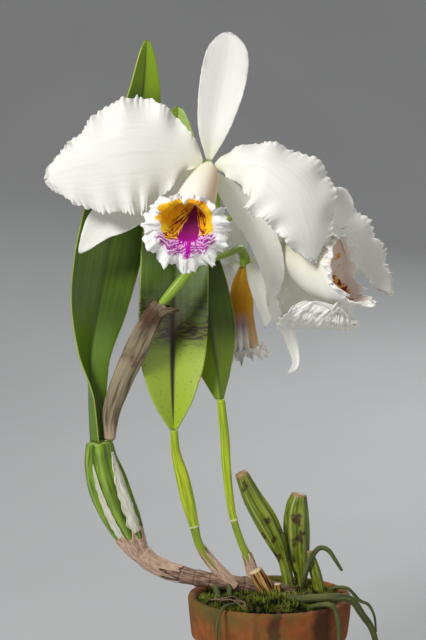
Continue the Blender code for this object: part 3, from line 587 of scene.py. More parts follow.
bulb_skin = green_stem_material("waxy_green_pseudobulb", "84A61C", "46650C", rough=0.36, ribs=7)
lead_rings = tube_rings(LEAD_BULB_PATH, LEAD_BULB_RADII, 80, 84, furrowed(7, 0.22))
place_piece("lead_pseudobulb", tube(lead_rings), bulb_skin, "lead_bulb", "pseudobulb_lead")

# Dry sheaths: skins as thin as paper, once green, now bleached and torn. They wrap the foot of each growth
# and lie in strips along the newest bulb, with ribs that run lengthwise and ragged upper edges.
def papery_skin(name, dark, pale, fibres=40):
    """Dead leaf skin: dull, a little see-through at its thinnest, with fibres running along it."""
    material, tree, at = start_material(name, roughness=0.72, specular_ior_level=0.3, subsurface_weight=0.1,
                                        subsurface_scale=0.001)
    fibre = stretched(tree, at.flat, (fibres, 3, 1), Scale=1.5, Detail=5, Roughness=0.6)
    tones = add(tree, "ValToRGB", fibre, stops=((0.28, dark), (0.6, pale)))
    finish(tree, tones, fibre, 0.6, 0.0004)
    return material


def sheet(grid, thickness, closed=False, thinning=0.0, flesh=None):
    """A thin skin on both sides of a grid of points, its rows closed into rings if asked.

    The UV map runs across the grid and along it, and the attribute inner is 1 on the rear side.
    Thinning is the share of the thickness lost at the margins, and flesh(row, column) thickens the rear side.
    """
    rows, columns = len(grid), len(grid[0])
    front, rear = [], []
    for i in range(rows):
        for j in range(columns):
            before, after = (j - 1) % columns, (j + 1) % columns
            if not closed:
                before, after = max(j - 1, 0), min(j + 1, columns - 1)
            across = grid[i][after] - grid[i][before]
            ahead = grid[min(i + 1, rows - 1)][j] - grid[max(i - 1, 0)][j]
            outward = across.cross(ahead).normalized()
            from_middle = 0 if closed else abs(2 * j / (columns - 1) - 1)
            edge = max(from_middle, i / (rows - 1)) ** 6
            half = thickness / 2 * (1 - thinning * edge)
            front.append(grid[i][j] + outward * half)
            rear.append(grid[i][j] - outward * (half + (flesh(i, j) if flesh else 0)))
    faces, uvs = [], []
    shift, last = rows * columns, rows - 1
    spans = columns if closed else columns - 1

    def put(corners, spots):
        faces.append(corners)
        uvs.append([(j / spans, i / (rows - 1)) for i, j in spots])

    for i in range(rows - 1):
        for j in range(spans):
            a, b = i * columns + j, i * columns + (j + 1) % columns
            c, d = b + columns, a + columns
            put((a, b, c, d), ((i, j), (i, j + 1), (i + 1, j + 1), (i + 1, j)))
            put((a + shift, d + shift, c + shift, b + shift),
                ((i, j), (i + 1, j), (i + 1, j + 1), (i, j + 1)))
    for j in range(spans):
        a, b = j, (j + 1) % columns
        put((a, a + shift, b + shift, b), ((0, j), (0, j), (0, j + 1), (0, j + 1)))
        a, b = a + shift - columns, b + shift - columns
        put((a, b, b + shift, a + shift), ((last, j), (last, j + 1), (last, j + 1), (last, j)))
    if not closed:
        for i in range(rows - 1):
            a, b = i * columns, (i + 1) * columns
            put((a, b, b + shift, a + shift), ((i, 0), (i + 1, 0), (i + 1, 0), (i, 0)))
            a, b = a + columns - 1, b + columns - 1
            put((a, a + shift, b + shift, b), ((i, spans), (i, spans), (i + 1, spans), (i + 1, spans)))
    mesh = skin(front + rear, faces, uvs)
    inner = mesh.attributes.new("inner", "FLOAT", "POINT")
    inner.data.foreach_set("value", [0.0] * len(front) + [1.0] * len(rear))
    return mesh


def wrap(path, radii, ribs, depth, low, high, turn_from, turn_to, rows, columns, ragged, seed, taper=0.0):
    """Grid of a sheath lying on a growth, between two heights and two turns, its upper edge ragged."""
    relief = furrowed(ribs, depth)
    path, closed = vectors(path), turn_to - turn_from >= 1
    grid, across = [], Vector((0, 1, 0))
    frames = []
    for i in range(201):
        ahead = heading(path, i / 200)
        across = (across - ahead * across.dot(ahead)).normalized()
        frames.append((ahead, across.copy(), ahead.cross(across)))
    for i in range(rows + 1):
        row = []
        for j in range(columns if closed else columns + 1):
            f = j / columns
            narrowing = 1 - taper * (i / rows) ** 1.6
            frayed = 1 if closed else narrowing * (1 + 0.35 * uneven_at(i / rows * 12, round(f), seed))
            turn = (turn_from + turn_to) / 2 + (turn_to - turn_from) * (f - 0.5) * frayed
            torn = ragged * abs(uneven_at(f * 7, seed, 2)) * (high - low) * 2
            t = low + (high - torn - low) * i / rows
            ahead, across, beside = frames[min(int(t * 200), 200)]
            a = math.tau * turn
            lift = SHEATH_CLEAR + 0.25 * uneven_at(f * 6, i / rows * 5, seed)
            radius = along(radii, t) * relief(turn, t) + lift
            row.append(along(path, t) + (across * math.cos(a) + beside * math.sin(a)) * radius)
        grid.append(row)
    return grid


SECOND_STEM_PATH = [(-26, 0, 98), (-35, 0, 108), (-41.6, 0, 118), (-44.6, 0, 130), (-47.8, 0, 143),
                    (-51.3, 0, 158), (-55, 0, 172), (-56, 0, 185)]
SECOND_STEM_RADII = [3.4, 3.0, 2.8, 3.4, 4.8, 4.5, 3.1, 2.2]
THIRD_STEM_PATH = [(-8, 6, 92), (-12, 5, 107), (-16.8, 5, 118), (-21.5, 6, 133), (-24, 7, 149),
                   (-25.5, 8, 164), (-26.4, 8, 180), (-28.6, 8, 202)]
THIRD_STEM_RADII = [3.4, 3.0, 2.5, 2.6, 3.0, 3.2, 3.1, 2.4]
NECK_PATH = [(-75, 0, 112), (-69, 0, 106.8), (-61, 0, 102.7), (-52, 0, 99.9)]
NECK_RADII = [5.2, 5.0, 4.9, 4.9]
lead = (LEAD_BULB_PATH, LEAD_BULB_RADII, 7, 0.22)
second = ([(-20, 0, 92.5)] + SECOND_STEM_PATH, [3.0] + SECOND_STEM_RADII, 4, 0.22)
third = ([(-5, 7, 87)] + THIRD_STEM_PATH, [3.0] + THIRD_STEM_RADII, 4, 0.22)
bleached = papery_skin("bleached_papery_sheath", "8F8A70", "E8E7D6", 14)
tan_skin = papery_skin("tan_pink_papery_sheath", "6E4E3C", "D9B9A0")
# A sheath lies on a growth with its ribs, from one height and one turn to another, and has rows and columns
# of points, a share of its length that is torn, a seed and, where it is a strip, a taper.
for name, grid, closed, skin_look, nodes in (
        ("lead_foot_sheath", wrap(*lead, 0.0, 0.33, 0, 1, 30, 84, 0.3, 5), True, tan_skin,
         ["paper_sheath_lead"]),
        ("lead_neck_sheath", wrap(NECK_PATH, NECK_RADII, 5, 0.12, 0.0, 1.0, 0, 1, 30, 48, 0.5, 3), True,
         tan_skin, []),
        ("lead_strip_right", wrap(*lead, 0.3, 0.93, 0.555, 0.725, 60, 20, 0.12, 9, 0.85), False, bleached,
         ["paper_strip_a"]),
        ("lead_strip_left", wrap(*lead, 0.3, 0.85, 0.39, 0.47, 60, 14, 0.12, 14, 0.85), False, bleached,
         ["paper_strip_b"]),
        ("lead_strip_rear", wrap(*lead, 0.3, 0.78, 0.785, 0.93, 50, 14, 0.12, 21, 0.85), False, bleached,
         ["paper_strip_c"]),
        ("second_foot_sheath", wrap(*second, 0.0, 0.36, 0, 1, 30, 40, 0.4, 30), True, tan_skin,
         ["paper_sheath_second"]),
        ("third_foot_sheath", wrap(*third, 0.0, 0.3, 0, 1, 24, 40, 0.4, 37), True, tan_skin,
         ["paper_sheath_third"])):
    place_piece(name, sheet(grid, 0.35, closed), skin_look, "papery_sheath", *nodes)

# Second and third growths: thin canes, waxy and yellow green in the light, with a pale ring at each old joint
# and shallow grooves from drying.
cane = green_stem_material("waxy_yellow_green_cane", "C2CF2C", "7A9414", rough=0.34, joint=0.41)


def jointed(turn, t):
    """Shallow grooves, and a swollen joint at two fifths of the height."""
    joint = 0.2 * math.exp(-((t - 0.41) / 0.007) ** 2) + 0.1 * math.exp(-((t - 0.02) / 0.03) ** 2)
    groove = 0.22 * (0.5 + 0.5 * math.cos(4 * turn * math.tau)) * math.sin(math.pi * t)
    return 1 - groove + joint + 0.03 * uneven_at(turn * 6, t * 9, 4)


place_piece("second_cane", tube(tube_rings(SECOND_STEM_PATH, SECOND_STEM_RADII, 110, 32, jointed)),
            cane, "cane", "pseudobulb_second")
place_piece("third_cane", tube(tube_rings(THIRD_STEM_PATH, THIRD_STEM_RADII, 110, 32, jointed)),
            cane, "cane", "pseudobulb_third")

# Backbulbs and cut stubs: old growths without leaves, ribbed and shrunken, olive with maroon blotches, and
# the tan cut ends of canes that were pruned away.
BACKBULBS = {
    "backbulb_leaning": ([(12.5, 11, 87), (11, 12, 96), (8.4, 12.5, 106), (4.2, 12, 117), (-2, 10, 130),
                          (-10, 8, 144),
                          (-16.8, 7, 159)], [3.0, 3.4, 3.4, 5.6, 6.8, 5.8, 3.8]),
    "backbulb_broad": ([(21, 16.5, 83), (19.4, 18, 93), (18, 18.5, 104), (17, 18.5, 116), (16.6, 18.5, 128),
                        (17, 18.5, 137),
                        (18.2, 18.5, 144)], [2.8, 3.4, 6.0, 7.8, 7.8, 6.6, 4.6]),
    "backbulb_small": ([(31, 3, 82), (29.6, 3, 90), (27.6, 3, 98), (25.4, 3, 106), (23.6, 3, 113)],
                       [2.0, 3.0, 3.4, 3.0, 1.6]),
}
STUBS = {
    "old_stem_stub": ([(-0.5, -5.5, 88), (-4, -5.5, 95), (-8.6, -5.5, 103.5)], [3.6, 4.7, 3.9]),
    "old_stem_stub_small": ([(5.4, -4, 86), (5, -4.5, 91), (4.4, -5, 95.5)], [1.8, 2.2, 1.9]),
}
old_bulb = green_stem_material("shrunken_olive_backbulb", "96A226", "4A600E", "3A1A10", rough=0.45, ribs=6,
                               ends="A07E58")
# Dry stubs look striped in tan and maroon along their length, and pale where they were cut.
dry_stub, tree, at = start_material("dry_striped_stub", roughness=0.7, specular_ior_level=0.3)
stripes = stretched(tree, at.flat, (22, 0.8, 1), Scale=1, Detail=2)
tones = add(tree, "ValToRGB", stripes, stops=((0.42, "4A1410"), (0.5, "C79C55")))
cut_end = add(tree, "MapRange", at.up, 0.95, 0.985, 0)
ended = add(tree, "MixRGB", cut_end, tones, "D8C49A")
finish(tree, ended)
for name, (path, radii) in BACKBULBS.items():
    place_piece(name.replace("backbulb", "old_bulb"),
                tube(tube_rings(path, radii, 70, 72, furrowed(6, 0.22)), 0.2),
                old_bulb, "backbulb", name)
for name, (path, radii) in STUBS.items():
    place_piece(name.replace("old_stem", "pruned"),
                tube(tube_rings(path, radii, 24, 60, furrowed(6, 0.22)), 0.1),
                dry_stub, "old_stub", name)

# Leaves: thick and leathery, one to a growth, folded along a sunken midrib, with a thin pale margin. The
# second leaf carries brown scars across its lower half.
LEAVES = {
    "leaf_lead": dict(
        spine=[(-104.6, 0, 178.5), (-105.6, 1, 203), (-105.4, 5, 228), (-101.4, 11, 256), (-95, 16, 292),
               (-86, 18, 334), (-75.5, 13, 376), (-71.5, 5, 411)],
        left=[5.2, 6.4, 10.5, 17, 20.5, 19, 12, 7],
        face=[(1, -0.35, 0), (0.9, -0.5, 0), (0.5, -0.85, 0.1), (0.3, -0.95, 0.1), (0.35, -0.9, 0.1),
              (0.4, -0.9, 0), (0.45, -0.9, 0), (0.4, -0.9, 0)],
        fold=[1.4, 1.2, 0.6, 0.25, 0.2, 0.25, 0.35, 0.4]),
    "leaf_second": dict(
        spine=[(-56.2, 0, 185.5), (-56.8, 3, 203), (-57, 7, 228), (-56.5, 11, 262), (-56, 15, 300),
               (-55.5, 19, 336), (-54, 22, 374)],
        left=[2.2, 12, 19, 20, 19, 15, 9],
        face=[(0, -1, 0), (0.05, -1, 0), (0.1, -1, 0)],
        fold=[0.9, 0.6, 0.45, 0.45, 0.4, 0.5, 0.5]),
    "leaf_third": dict(
        spine=[(-28.8, 8, 202.5), (-30.5, 10.5, 218), (-34, 15, 240), (-38, 21, 264), (-43, 28, 290),
               (-47, 35, 316)],
        left=[2.4, 9, 16, 16, 12, 3], right=[2.4, 9, 16, 15, 11, 3],
        face=[(-0.3, 0.95, 0), (-0.25, 1, 0), (-0.2, 1, 0)],
        fold=[0.9, 0.6, 0.4, 0.35, 0.3, 0.3]),
}


def blade_grid(spine, left, face, rows, across, right=None, fold=(0, 0), curl=(0, 0), waves=0, depth=0.0,
               crimp=0.0, teeth=0.0, pleats=0, soft=0.0, gathered=False, seed=0):
    """Middle surface of a leaf, sepal or petal, from its foot to its rounded tip.

    Left and right are the half widths as seen with the tip up and the inner face towards the eye, right being
    like left if not given. Fold is the slope of the two halves, curl bends the margins and waves ripple them.
    Crimp is the height of the fine ruffle at the margin, teeth its ragged edge and soft rounds the crease of
    the fold. A gathered blade is crumpled over nearly half of its length, and others only at the tip.
    """
    spine, face, right = vectors(spine), vectors(face), right or left
    ruff, ragged_reach = (0.45, 90) if gathered else (0.12, 34)
    grid = []
    for i in range(rows + 1):
        t = i / rows
        u = t * (1.5 - 0.5 * t)
        ahead = heading(spine, u)
        side = ahead.cross(along(face, u)).normalized()
        inner = side.cross(ahead)
        rounding = max(math.sqrt(1 - u ** 14), 0.05)
        centre, halves, slope = along(spine, u), (along(left, u), along(right, u)), along(fold, u)
        row = []
        for j in range(-across, across + 1):
            v = math.copysign(abs(j / across) ** 0.75, j)
            way = 0 if v < 0 else 1
            tip = max(0, (u - 1 + ruff) / ruff)
            rim = max(abs(v) ** 8, max(0, 2 * tip - 1) ** 2 * 0.6, 0.7 * tip if gathered else 0)
            rim *= min(1, 3 * u)
            # Pleats run in from the margin, about 3 mm apart, and fade out over its outer quarter.
            phase = pleats * (min(u, 1 - ruff) + 0.3 * v * tip) + 0.5 * way
            beat = math.sin(math.tau * phase + 9 * uneven_at(u * 5, way * 7, seed + 3))
            uneven = 0.55 + 0.8 * abs(uneven_at(u * 9, way * 5, seed + 7))
            pleat = beat * uneven * rim * max(tip, max(0, abs(v) - 0.7) / 0.3) * (0.6 + 0.9 * u)
            if gathered:
                pleat = (0.35 * beat + 1.6 * uneven_at(v * 11, u * 5, seed)) * max(rim, tip ** 0.5) * 0.4
            ragged = uneven_at(u * 34, way * 9, seed) + 0.6 * uneven_at(u * 80, way * 9, seed + 5)
            half = halves[way] * rounding * (1 + teeth * (ragged + 0.2 * beat) * abs(v) ** 8)
            ripple = math.sin(math.tau * waves * u + 2 * way) * abs(v) ** 3 * math.sin(math.pi * u) ** 0.5
            ruffle = uneven_at(u * 22, v * 1.5, seed + 11) + 0.6 * uneven_at(u * 48, v * 2, seed + 17)
            lift = slope * (math.sqrt(v * v + soft) - math.sqrt(soft)) * half + curl[way] * v * v * half
            lift = lift + depth * ripple + crimp * (ruffle * rim + 0.55 * pleat)
            shove = crimp * 0.8 * uneven_at(u * 26, v * 2, seed + 23) * rim
            bites = uneven_at(v * 9, 3, seed) + 0.7 * uneven_at(v * 23, 5, seed)
            shove += teeth * ragged_reach * bites * tip ** 3
            row.append(centre + side * v * half + inner * lift + ahead * shove)
        grid.append(row)
    return grid


SMOOTH = dict(interpolation_type="SMOOTHSTEP")


def leaf_material(name, pale, dark, foot, tip, scars=False):
    """Leathery leaf with fine veins, a darker midrib, a thin pale margin, and painted light: a lighter foot
    and tip.
    """
    material, tree, at = start_material(name, roughness=0.36, specular_ior_level=0.5, subsurface_weight=0.08,
                                        subsurface_scale=0.002)
    veins = stretched(tree, at.flat, (60, 2.5, 1), Scale=1.5, Detail=3)
    cloud = add(tree, "TexNoise", at.object, Scale=22, Detail=3)
    both = add(tree, "MixRGB", 0.6, veins, cloud)
    tones = add(tree, "ValToRGB", both, stops=((0.36, dark), (0.62, pale)))
    # Painted light: the foot and the tip are painted in the lighter colours foot and tip, as if lit.
    painted_light_foot_amount = add(tree, "MapRange", at.up, 0.2, 0.36, 0.8, 0, **SMOOTH)
    painted_light_tip_amount = add(tree, "MapRange", at.up, 0.72, 0.86, 0, 0.75, **SMOOTH)
    painted_light_foot = add(tree, "MixRGB", painted_light_foot_amount, tones, foot)
    painted_light_foot_and_tip = add(tree, "MixRGB", painted_light_tip_amount, painted_light_foot, tip)
    # Distance from the midrib, 0 to 1 at the margin.
    away = distance(tree, at.side, 0.5)
    rib = add(tree, "MapRange", away, 0.0, 0.035, 0.75, 0)
    ribbed = add(tree, "MixRGB", rib, painted_light_foot_and_tip, "2C380C")
    rim = add(tree, "MapRange", away, 0.475, 0.495, 0, 0.6)
    rimmed = add(tree, "MixRGB", rim, ribbed, "B9C05A")
    colour = rimmed
    if scars:
        # Brown scars lie across the leaf a quarter of the way up it.
        low = add(tree, "MapRange", at.up, 0.255, 0.29, 0)
        top = add(tree, "MapRange", at.up, 0.35, 0.43, 1, 0)
        band = add(tree, "Math", low, top, operation="MULTIPLY")
        scratch_place = add(tree, "Mapping", at.object, Rotation=(0, 0.3, 0), Scale=(75, 75, 330))
        scratch = add(tree, "TexNoise", scratch_place, Scale=1, Detail=5, Distortion=0.5)
        off_scratch = distance(tree, scratch, 0.5)
        torn = add(tree, "MapRange", off_scratch, 0.025, 0.08, 1, 0.42)
        patchy = add(tree, "MapRange", cloud, 0.3, 0.46, 0.45)
        near_rib = add(tree, "MapRange", away, 0.02, 0.22, 0.95, 0)
        worn = add(tree, "Math", torn, near_rib, operation="MAXIMUM")
        scar = add(tree, "Math", band, worn, operation="MULTIPLY")
        scar = add(tree, "Math", scar, patchy, operation="MULTIPLY")
        scarred_skin = add(tree, "MixRGB", scar, colour, "2E1B0A")
        # Small dark flecks are sprinkled over the lower half.
        fleck = add(tree, "TexNoise", at.object, Scale=620, Detail=2)
        fleck_amount = add(tree, "MapRange", fleck, 0.64, 0.7, 0, 0.45)
        fleck_part = add(tree, "MapRange", at.up, 0.42, 0.3)
        flecks = add(tree, "Math", fleck_amount, fleck_part, operation="MULTIPLY")
        scarred_skin = add(tree, "MixRGB", flecks, scarred_skin, "4A4A14")
        # Below the scars the midrib is rotted dark brown, in patches.
        rot_low = add(tree, "MapRange", away, 0.01, 0.03, 0.95, 0)
        rot_high = add(tree, "MapRange", at.up, 0.4, 0.36)
        rot_patch = add(tree, "MapRange", cloud, 0.35, 0.5)
        rot = add(tree, "Math", rot_low, rot_high, operation="MULTIPLY")
        rot = add(tree, "Math", rot, rot_patch, operation="MULTIPLY")
        colour = add(tree, "MixRGB", rot, scarred_skin, "2A1E0A")
    finish(tree, colour, veins, 0.18, 0.0003)
    return material


# The fourth and fifth colours of each leaf are painted light on its foot and tip.
leaf_looks = {"leaf_lead": leaf_material("leathery_leaf_deep_green", "587412", "2E4207", "5F7F16", "96B81A"),
              "leaf_second": leaf_material("leathery_leaf_scarred", "5C781A", "38500C", "A9BE2E", "8FAE1E",
                                           scars=True),
              "leaf_third": leaf_material("leathery_leaf_mid_green", "587416", "30460A", "8AA426", "58741A")}
for name, shape in LEAVES.items():
    grid = blade_grid(rows=110, across=18, crimp=0.35, teeth=0.01, seed=len(name), **shape)
    place_piece(name + "_blade", sheet(grid, 1.3, thinning=0.4), leaf_looks[name], "leaf", name)

# Flower sheath and stalk: a dried brown sheath, flat and ribbed, that the green stalk grew up through. Above
# it the stalk forks into three flower stems, each bent over behind its bloom.
SHEATH_PATH = [(-93.4, -1.5, 180.5), (-92, -3, 197), (-86, -6, 215), (-76, -9, 236), (-68, -11.6, 252),
               (-62, -12.8, 261)]
SHEATH_HALF_WIDTHS = [3.2, 5.2, 6.6, 7.0, 6.0, 4.6]
SHEATH_HALF_DEPTHS = [3.2, 3.5, 3.7, 3.7, 3.7, 3.7]
STALK_PATH = [(-93.4, -1.5, 179.3), (-92, -3, 197), (-86, -6, 215), (-76, -9, 236), (-66.5, -12, 254),
              (-56, -13, 268), (-46, -10, 279), (-39, -4, 286)]
STALK_RADII = [2.0, 2.2, 2.2, 2.2, 2.3, 2.9, 3.0, 3.0]
BLOOMS = {
    "front": dict(hub=(-36, -22, 338), facing=(0, -1, -0.12),
                  stem=[(-41, -6, 284), (-35, -2, 296), (-31.5, 0, 310), (-31.5, -1, 324), (-34, -8, 335)]),
    "right": dict(hub=(12, 5, 303), facing=(0.66, -0.55, -0.5),
                  stem=[(-40, -5, 285), (-33, -1, 297), (-25, 3, 308), (-13, 9, 314), (0, 12, 311)]),
    "back": dict(hub=(-14, 35, 281), facing=(0.12, 0.42, -0.9),
                 stem=[(-40, -5, 284), (-31, 3, 286), (-23, 13, 288.5), (-17.5, 23, 290.5)]),
}
STEM_RADII = [2.0, 1.8, 1.9, 2.3, 2.9, 3.3]
# Of the sheath's rings the last few are torn down, and more of them bend outward.
SHEATH_RINGS, SHEATH_SIDES, TORN_RINGS, BENT_RINGS = 90, 64, 7, 15


def seat(place_name):
    """Middle of a bloom and the way that it faces."""
    bloom = BLOOMS[place_name]
    return Vector(bloom["hub"]), Vector(bloom["facing"]).normalized()


def dried(turn, t):
    """Lengthwise ribs and creases of a dried sheath."""
    round_it = Vector((math.cos(turn * math.tau), math.sin(turn * math.tau), 0))
    bend = noise.noise(round_it * 1.5 + Vector((0, 0, t * 3)))
    rib, crease = math.cos(turn * math.tau * 3 + 4 * bend), math.cos(turn * math.tau * 17 + 6 * bend)
    return 0.88 + 0.05 * rib + 0.14 * bend + 0.015 * crease


# The dead sheath looks dull, grey brown and fibrous.
brown_sheath, tree, at = start_material("dried_flower_sheath", roughness=0.75, specular_ior_level=0.3)
fibre = stretched(tree, at.flat, (16, 2.2, 1), Scale=1.5, Detail=7, Roughness=0.6, Distortion=0.4)
tones = add(tree, "ValToRGB", fibre, stops=((0.34, "45392A"), (0.6, "9C8E72")))
# The torn top is dark brown and so are a few long blotches; the foot is a paler, pinkish tan.
blotch = add(tree, "TexNoise", at.object, Scale=60, Detail=4)
browned = add(tree, "Math", at.up, 0.45, blotch, operation="MULTIPLY_ADD")
brown_amount = add(tree, "MapRange", browned, 0.76, 0.92, 0, 0.9)
brown_top = add(tree, "MixRGB", brown_amount, tones, "4A2F16")
pink_amount = add(tree, "MapRange", at.up, 0.0, 0.12, 0.6, 0)
pink_foot = add(tree, "MixRGB", pink_amount, brown_top, "D3B39A")
finish(tree, pink_foot, fibre, 0.5, 0.0004)
sheath_grid = tube_rings(SHEATH_PATH, SHEATH_HALF_WIDTHS, SHEATH_RINGS, SHEATH_SIDES, dried,
                         SHEATH_HALF_DEPTHS)
top_row, under = sheath_grid[-1], sheath_grid[-TORN_RINGS - 1]
for k in range(SHEATH_SIDES):
    turn = math.tau * k / SHEATH_SIDES
    tear = 0.5 + 0.5 * uneven_at(math.cos(turn) * 3, math.sin(turn) * 3, 1)
    for step in range(1, TORN_RINGS + 1):
        height = step / TORN_RINGS * (0.35 + 0.65 * tear)
        sheath_grid[step - TORN_RINGS - 1][k] = under[k].lerp(top_row[k], height)
for step, ring in enumerate(sheath_grid[-BENT_RINGS:], 1):
    middle = sum(ring, Vector()) / SHEATH_SIDES
    for point in ring:
        side = (point - middle).normalized().dot(Vector((0.7, -0.2, -0.7)))
        point += Vector((0.65, -0.05, -0.12)) * 10 * max(0, side) * (step / BENT_RINGS) ** 1.7
place_piece("dried_sheath", sheet(sheath_grid, 0.6, closed=True), brown_sheath, "flower_sheath",
            "flower_sheath")

stalk_skin = green_stem_material("smooth_green_flower_stalk", "9DB83A", "6F8E22", rough=0.4)
parts = [tube(tube_rings(STALK_PATH, STALK_RADII, 90, 24))]
for place_name, bloom in BLOOMS.items():
    hub, facing = seat(place_name)
    stem_path = bloom["stem"] + [hub - facing * 6, hub + facing * 0.7]
    parts.append(tube(tube_rings(stem_path, STEM_RADII, 60, 24), 0.1))
stalk_mesh = combined(put_in_scene("stalk", parts[0]), "UNION", parts[1:])
stalk_mesh.shade_smooth()
place_piece("forked_flower_stalk", stalk_mesh, stalk_skin, "flower_stalk", "flower_stalk")

# Blooms: on each, three narrow sepals and two broad petals stand round the end of the flower stem. They are
# white with a sparkle of fine cells, faintly green at the foot, and the petals' margins are crimped and
# notched.
ORGANS = {
    "front": {
        "sepal_dorsal": dict(
            spine=[(3, -2, 22), (7, 2, 43), (10.5, 8, 62), (11.5, 13, 76)],
            left=[1.6, 9, 12.6, 12.4, 7], right=[1.6, 9, 12.6, 12.6, 7.5],
            face=[(0, -1, 0), (0.1, -1, 0), (0.2, -1, 0.2)], fold=[0.3, 0.25, 0.1]),
        "petal_left": dict(
            spine=[(-12, -3, 5), (-24, -6, 7), (-38, -9, 8), (-52, -9, 6), (-66, -6, 2), (-80, -2, -2),
                   (-91.5, 3, -7)],
            left=[1.6, 10, 26, 35, 33, 29, 22, 14], right=[1.6, 13, 25, 31, 28, 20, 12, 9],
            face=[(0, -1, 0), (-0.1, -1, 0), (-0.3, -1, 0)], curl=(-0.12, -0.2), waves=6, depth=3.2),
        "petal_right": dict(
            spine=[(11, -5, 1), (22, -10, 1), (33, -14, -2), (44, -17, -12), (52, -17, -25), (57, -14, -40),
                   (59.5, -8, -54)],
            left=[1.6, 8, 13, 18, 26, 25, 17, 7], right=[1.6, 7, 15, 24, 24, 19, 14, 6],
            face=[(0, -1, 0), (0.1, -1, 0.15), (0.35, -1, 0.1)], curl=(-0.4, -0.1), waves=6, depth=3.4),
        "sepal_left": dict(
            spine=[(-16, 5, -8), (-33, 8, -17), (-49, 11, -25), (-62, 13, -33), (-74, 16, -49)],
            left=[1.6, 7, 10, 11.5, 9.5, 3.5], right=[1.6, 7, 10, 11.5, 9, 3.5],
            face=[(0, -1, 0), (0, -1, 0), (-0.1, -1, 0.2)], fold=[0.2, 0.15, 0.1]),
        "sepal_right": dict(
            spine=[(12, 6, -15), (20, 8, -26), (29, 9, -39), (35, 10, -53), (37, 11, -66), (34.5, 13, -79)],
            left=[1.6, 7, 9.5, 9.5, 8, 6, 2.5], right=[1.6, 6, 7.5, 8, 8, 6, 2.5],
            face=[(0, -1, 0), (0.3, -1, 0), (0.5, -0.9, 0)], fold=[0.2, 0.3, 0.3]),
    },
    "right": {
        "sepal_dorsal": dict(
            spine=[(9, -1, 12), (16, -7, 20), (23, -13, 21), (28, -18, 13), (28.5, -20, 0)],
            left=[1.6, 6, 8.5, 8.5, 8, 5.5],
            face=[(0.66, -0.6, 0), (0.5, -0.5, -0.7), (0.2, 0.3, -1), (-0.3, 1, -0.5), (-0.2, 1, 0)],
            fold=[0.25, 0.2, 0.15]),
        "petal_far": dict(
            spine=[(16, 10, 5), (25, 17, 2), (33, 21, -6), (41, 22, -17), (49, 18, -28), (60, 10, -40)],
            left=[1.6, 13, 20, 23, 22, 16, 6], right=[1.6, 8, 15, 17, 12, 5, 3],
            face=[(0.66, -0.55, 0), (0.5, -0.85, 0.2), (0.45, -0.85, 0.25)], curl=(-0.2, -0.1), waves=6,
            depth=2.4),
        "petal_near": dict(
            spine=[(-4, -1, -8), (-1, 8, -19), (7, 12, -31), (15, 11, -44), (18, 4, -54), (19, -10, -58),
                   (20, -25, -54), (24, -31, -45)],
            left=[1.6, 3, 8, 14, 19, 20, 19, 18, 17], right=[1.6, 4, 12, 18, 22, 25, 27, 28, 27],
            face=[(0.66, -0.55, 0), (0.5, -0.8, 0), (0.2, -1, 0), (0, -0.8, 0.5), (0, 0, 1), (0, 0.8, 0.6),
                  (0, 1, 0.1)], curl=(0.1, 0.05), waves=6, depth=2.8, gathered=True),
        "sepal_near": dict(
            spine=[(-3, 14, -20), (-6, 17, -33), (-6, 17, -46), (-1, 14, -59), (2.5, 10, -72), (3.5, 7, -80),
                   (-1, 5, -86)],
            left=[1.6, 6, 7.5, 7.5, 5, 3, 2, 1.2],
            face=[(0.66, -0.55, 0), (0, -1, 0), (0.1, -1, 0)], fold=[0.2, 0.3, 0.4]),
        "sepal_far": dict(
            spine=[(16, 17, -11), (25, 27, -22), (31, 31, -34), (34, 31, -45)],
            left=[1.6, 7, 9, 8, 3.5],
            face=[(0.66, -0.55, 0), (0.6, -0.8, 0)], fold=[0.2, 0.2]),
    },
    "back": {
        "sepal_dorsal": dict(
            spine=[(-2, 7, 8), (-4, 9, 20), (-2, 8, 33), (3, 6, 45)],
            left=[1.6, 4, 5.5, 6.5, 3],
            face=[(0.1, 0.4, -0.9), (0, -1, -0.4), (0, -1, 0)], fold=[0.3, 0.3]),
        "petal_right": dict(
            spine=[(11, 5, 4), (23, 14, 11), (34, 23, 12), (46, 29, 6), (55, 31, -4)],
            left=[1.6, 6, 15, 20, 17, 6],
            face=[(0.1, 0.4, -0.9), (0.2, 0.8, -0.6), (0.5, 0.7, -0.3)], curl=(-0.1, -0.1), waves=6,
            depth=2.4),
        "petal_left": dict(
            spine=[(-11, 5, 4), (-20, 13, 9), (-29, 24, 10), (-36, 36, 7), (-41, 47, 0)],
            left=[1.6, 4, 15, 19, 16, 6],
            face=[(0.1, 0.4, -0.9), (0.1, 0.8, -0.6), (-0.5, 0.8, -0.3)], curl=(-0.1, -0.1), waves=6,
            depth=2.4),
        "sepal_left": dict(
            spine=[(-8, -3, -1.5), (-14, -1, -9), (-20, 4, -18), (-24, 11, -29), (-26, 19, -40)],
            left=[1.6, 4, 6, 7, 6, 3],
            face=[(0.1, 0.4, -0.9), (-0.3, 0.9, -0.3), (-0.5, 0.8, 0)], fold=[0.2, 0.2]),
        "sepal_right": dict(
            spine=[(6, -6, -8), (9.5, -8, -18), (12, -8, -28), (12, -6, -38)],
            left=[1.6, 5, 6, 5, 1.6],
            face=[(0.1, 0.4, -0.9), (0.3, 1, 0), (0.5, 1, 0)], fold=[0.3, 0.4]),
    },
}
RING_RADIUS = 3.8

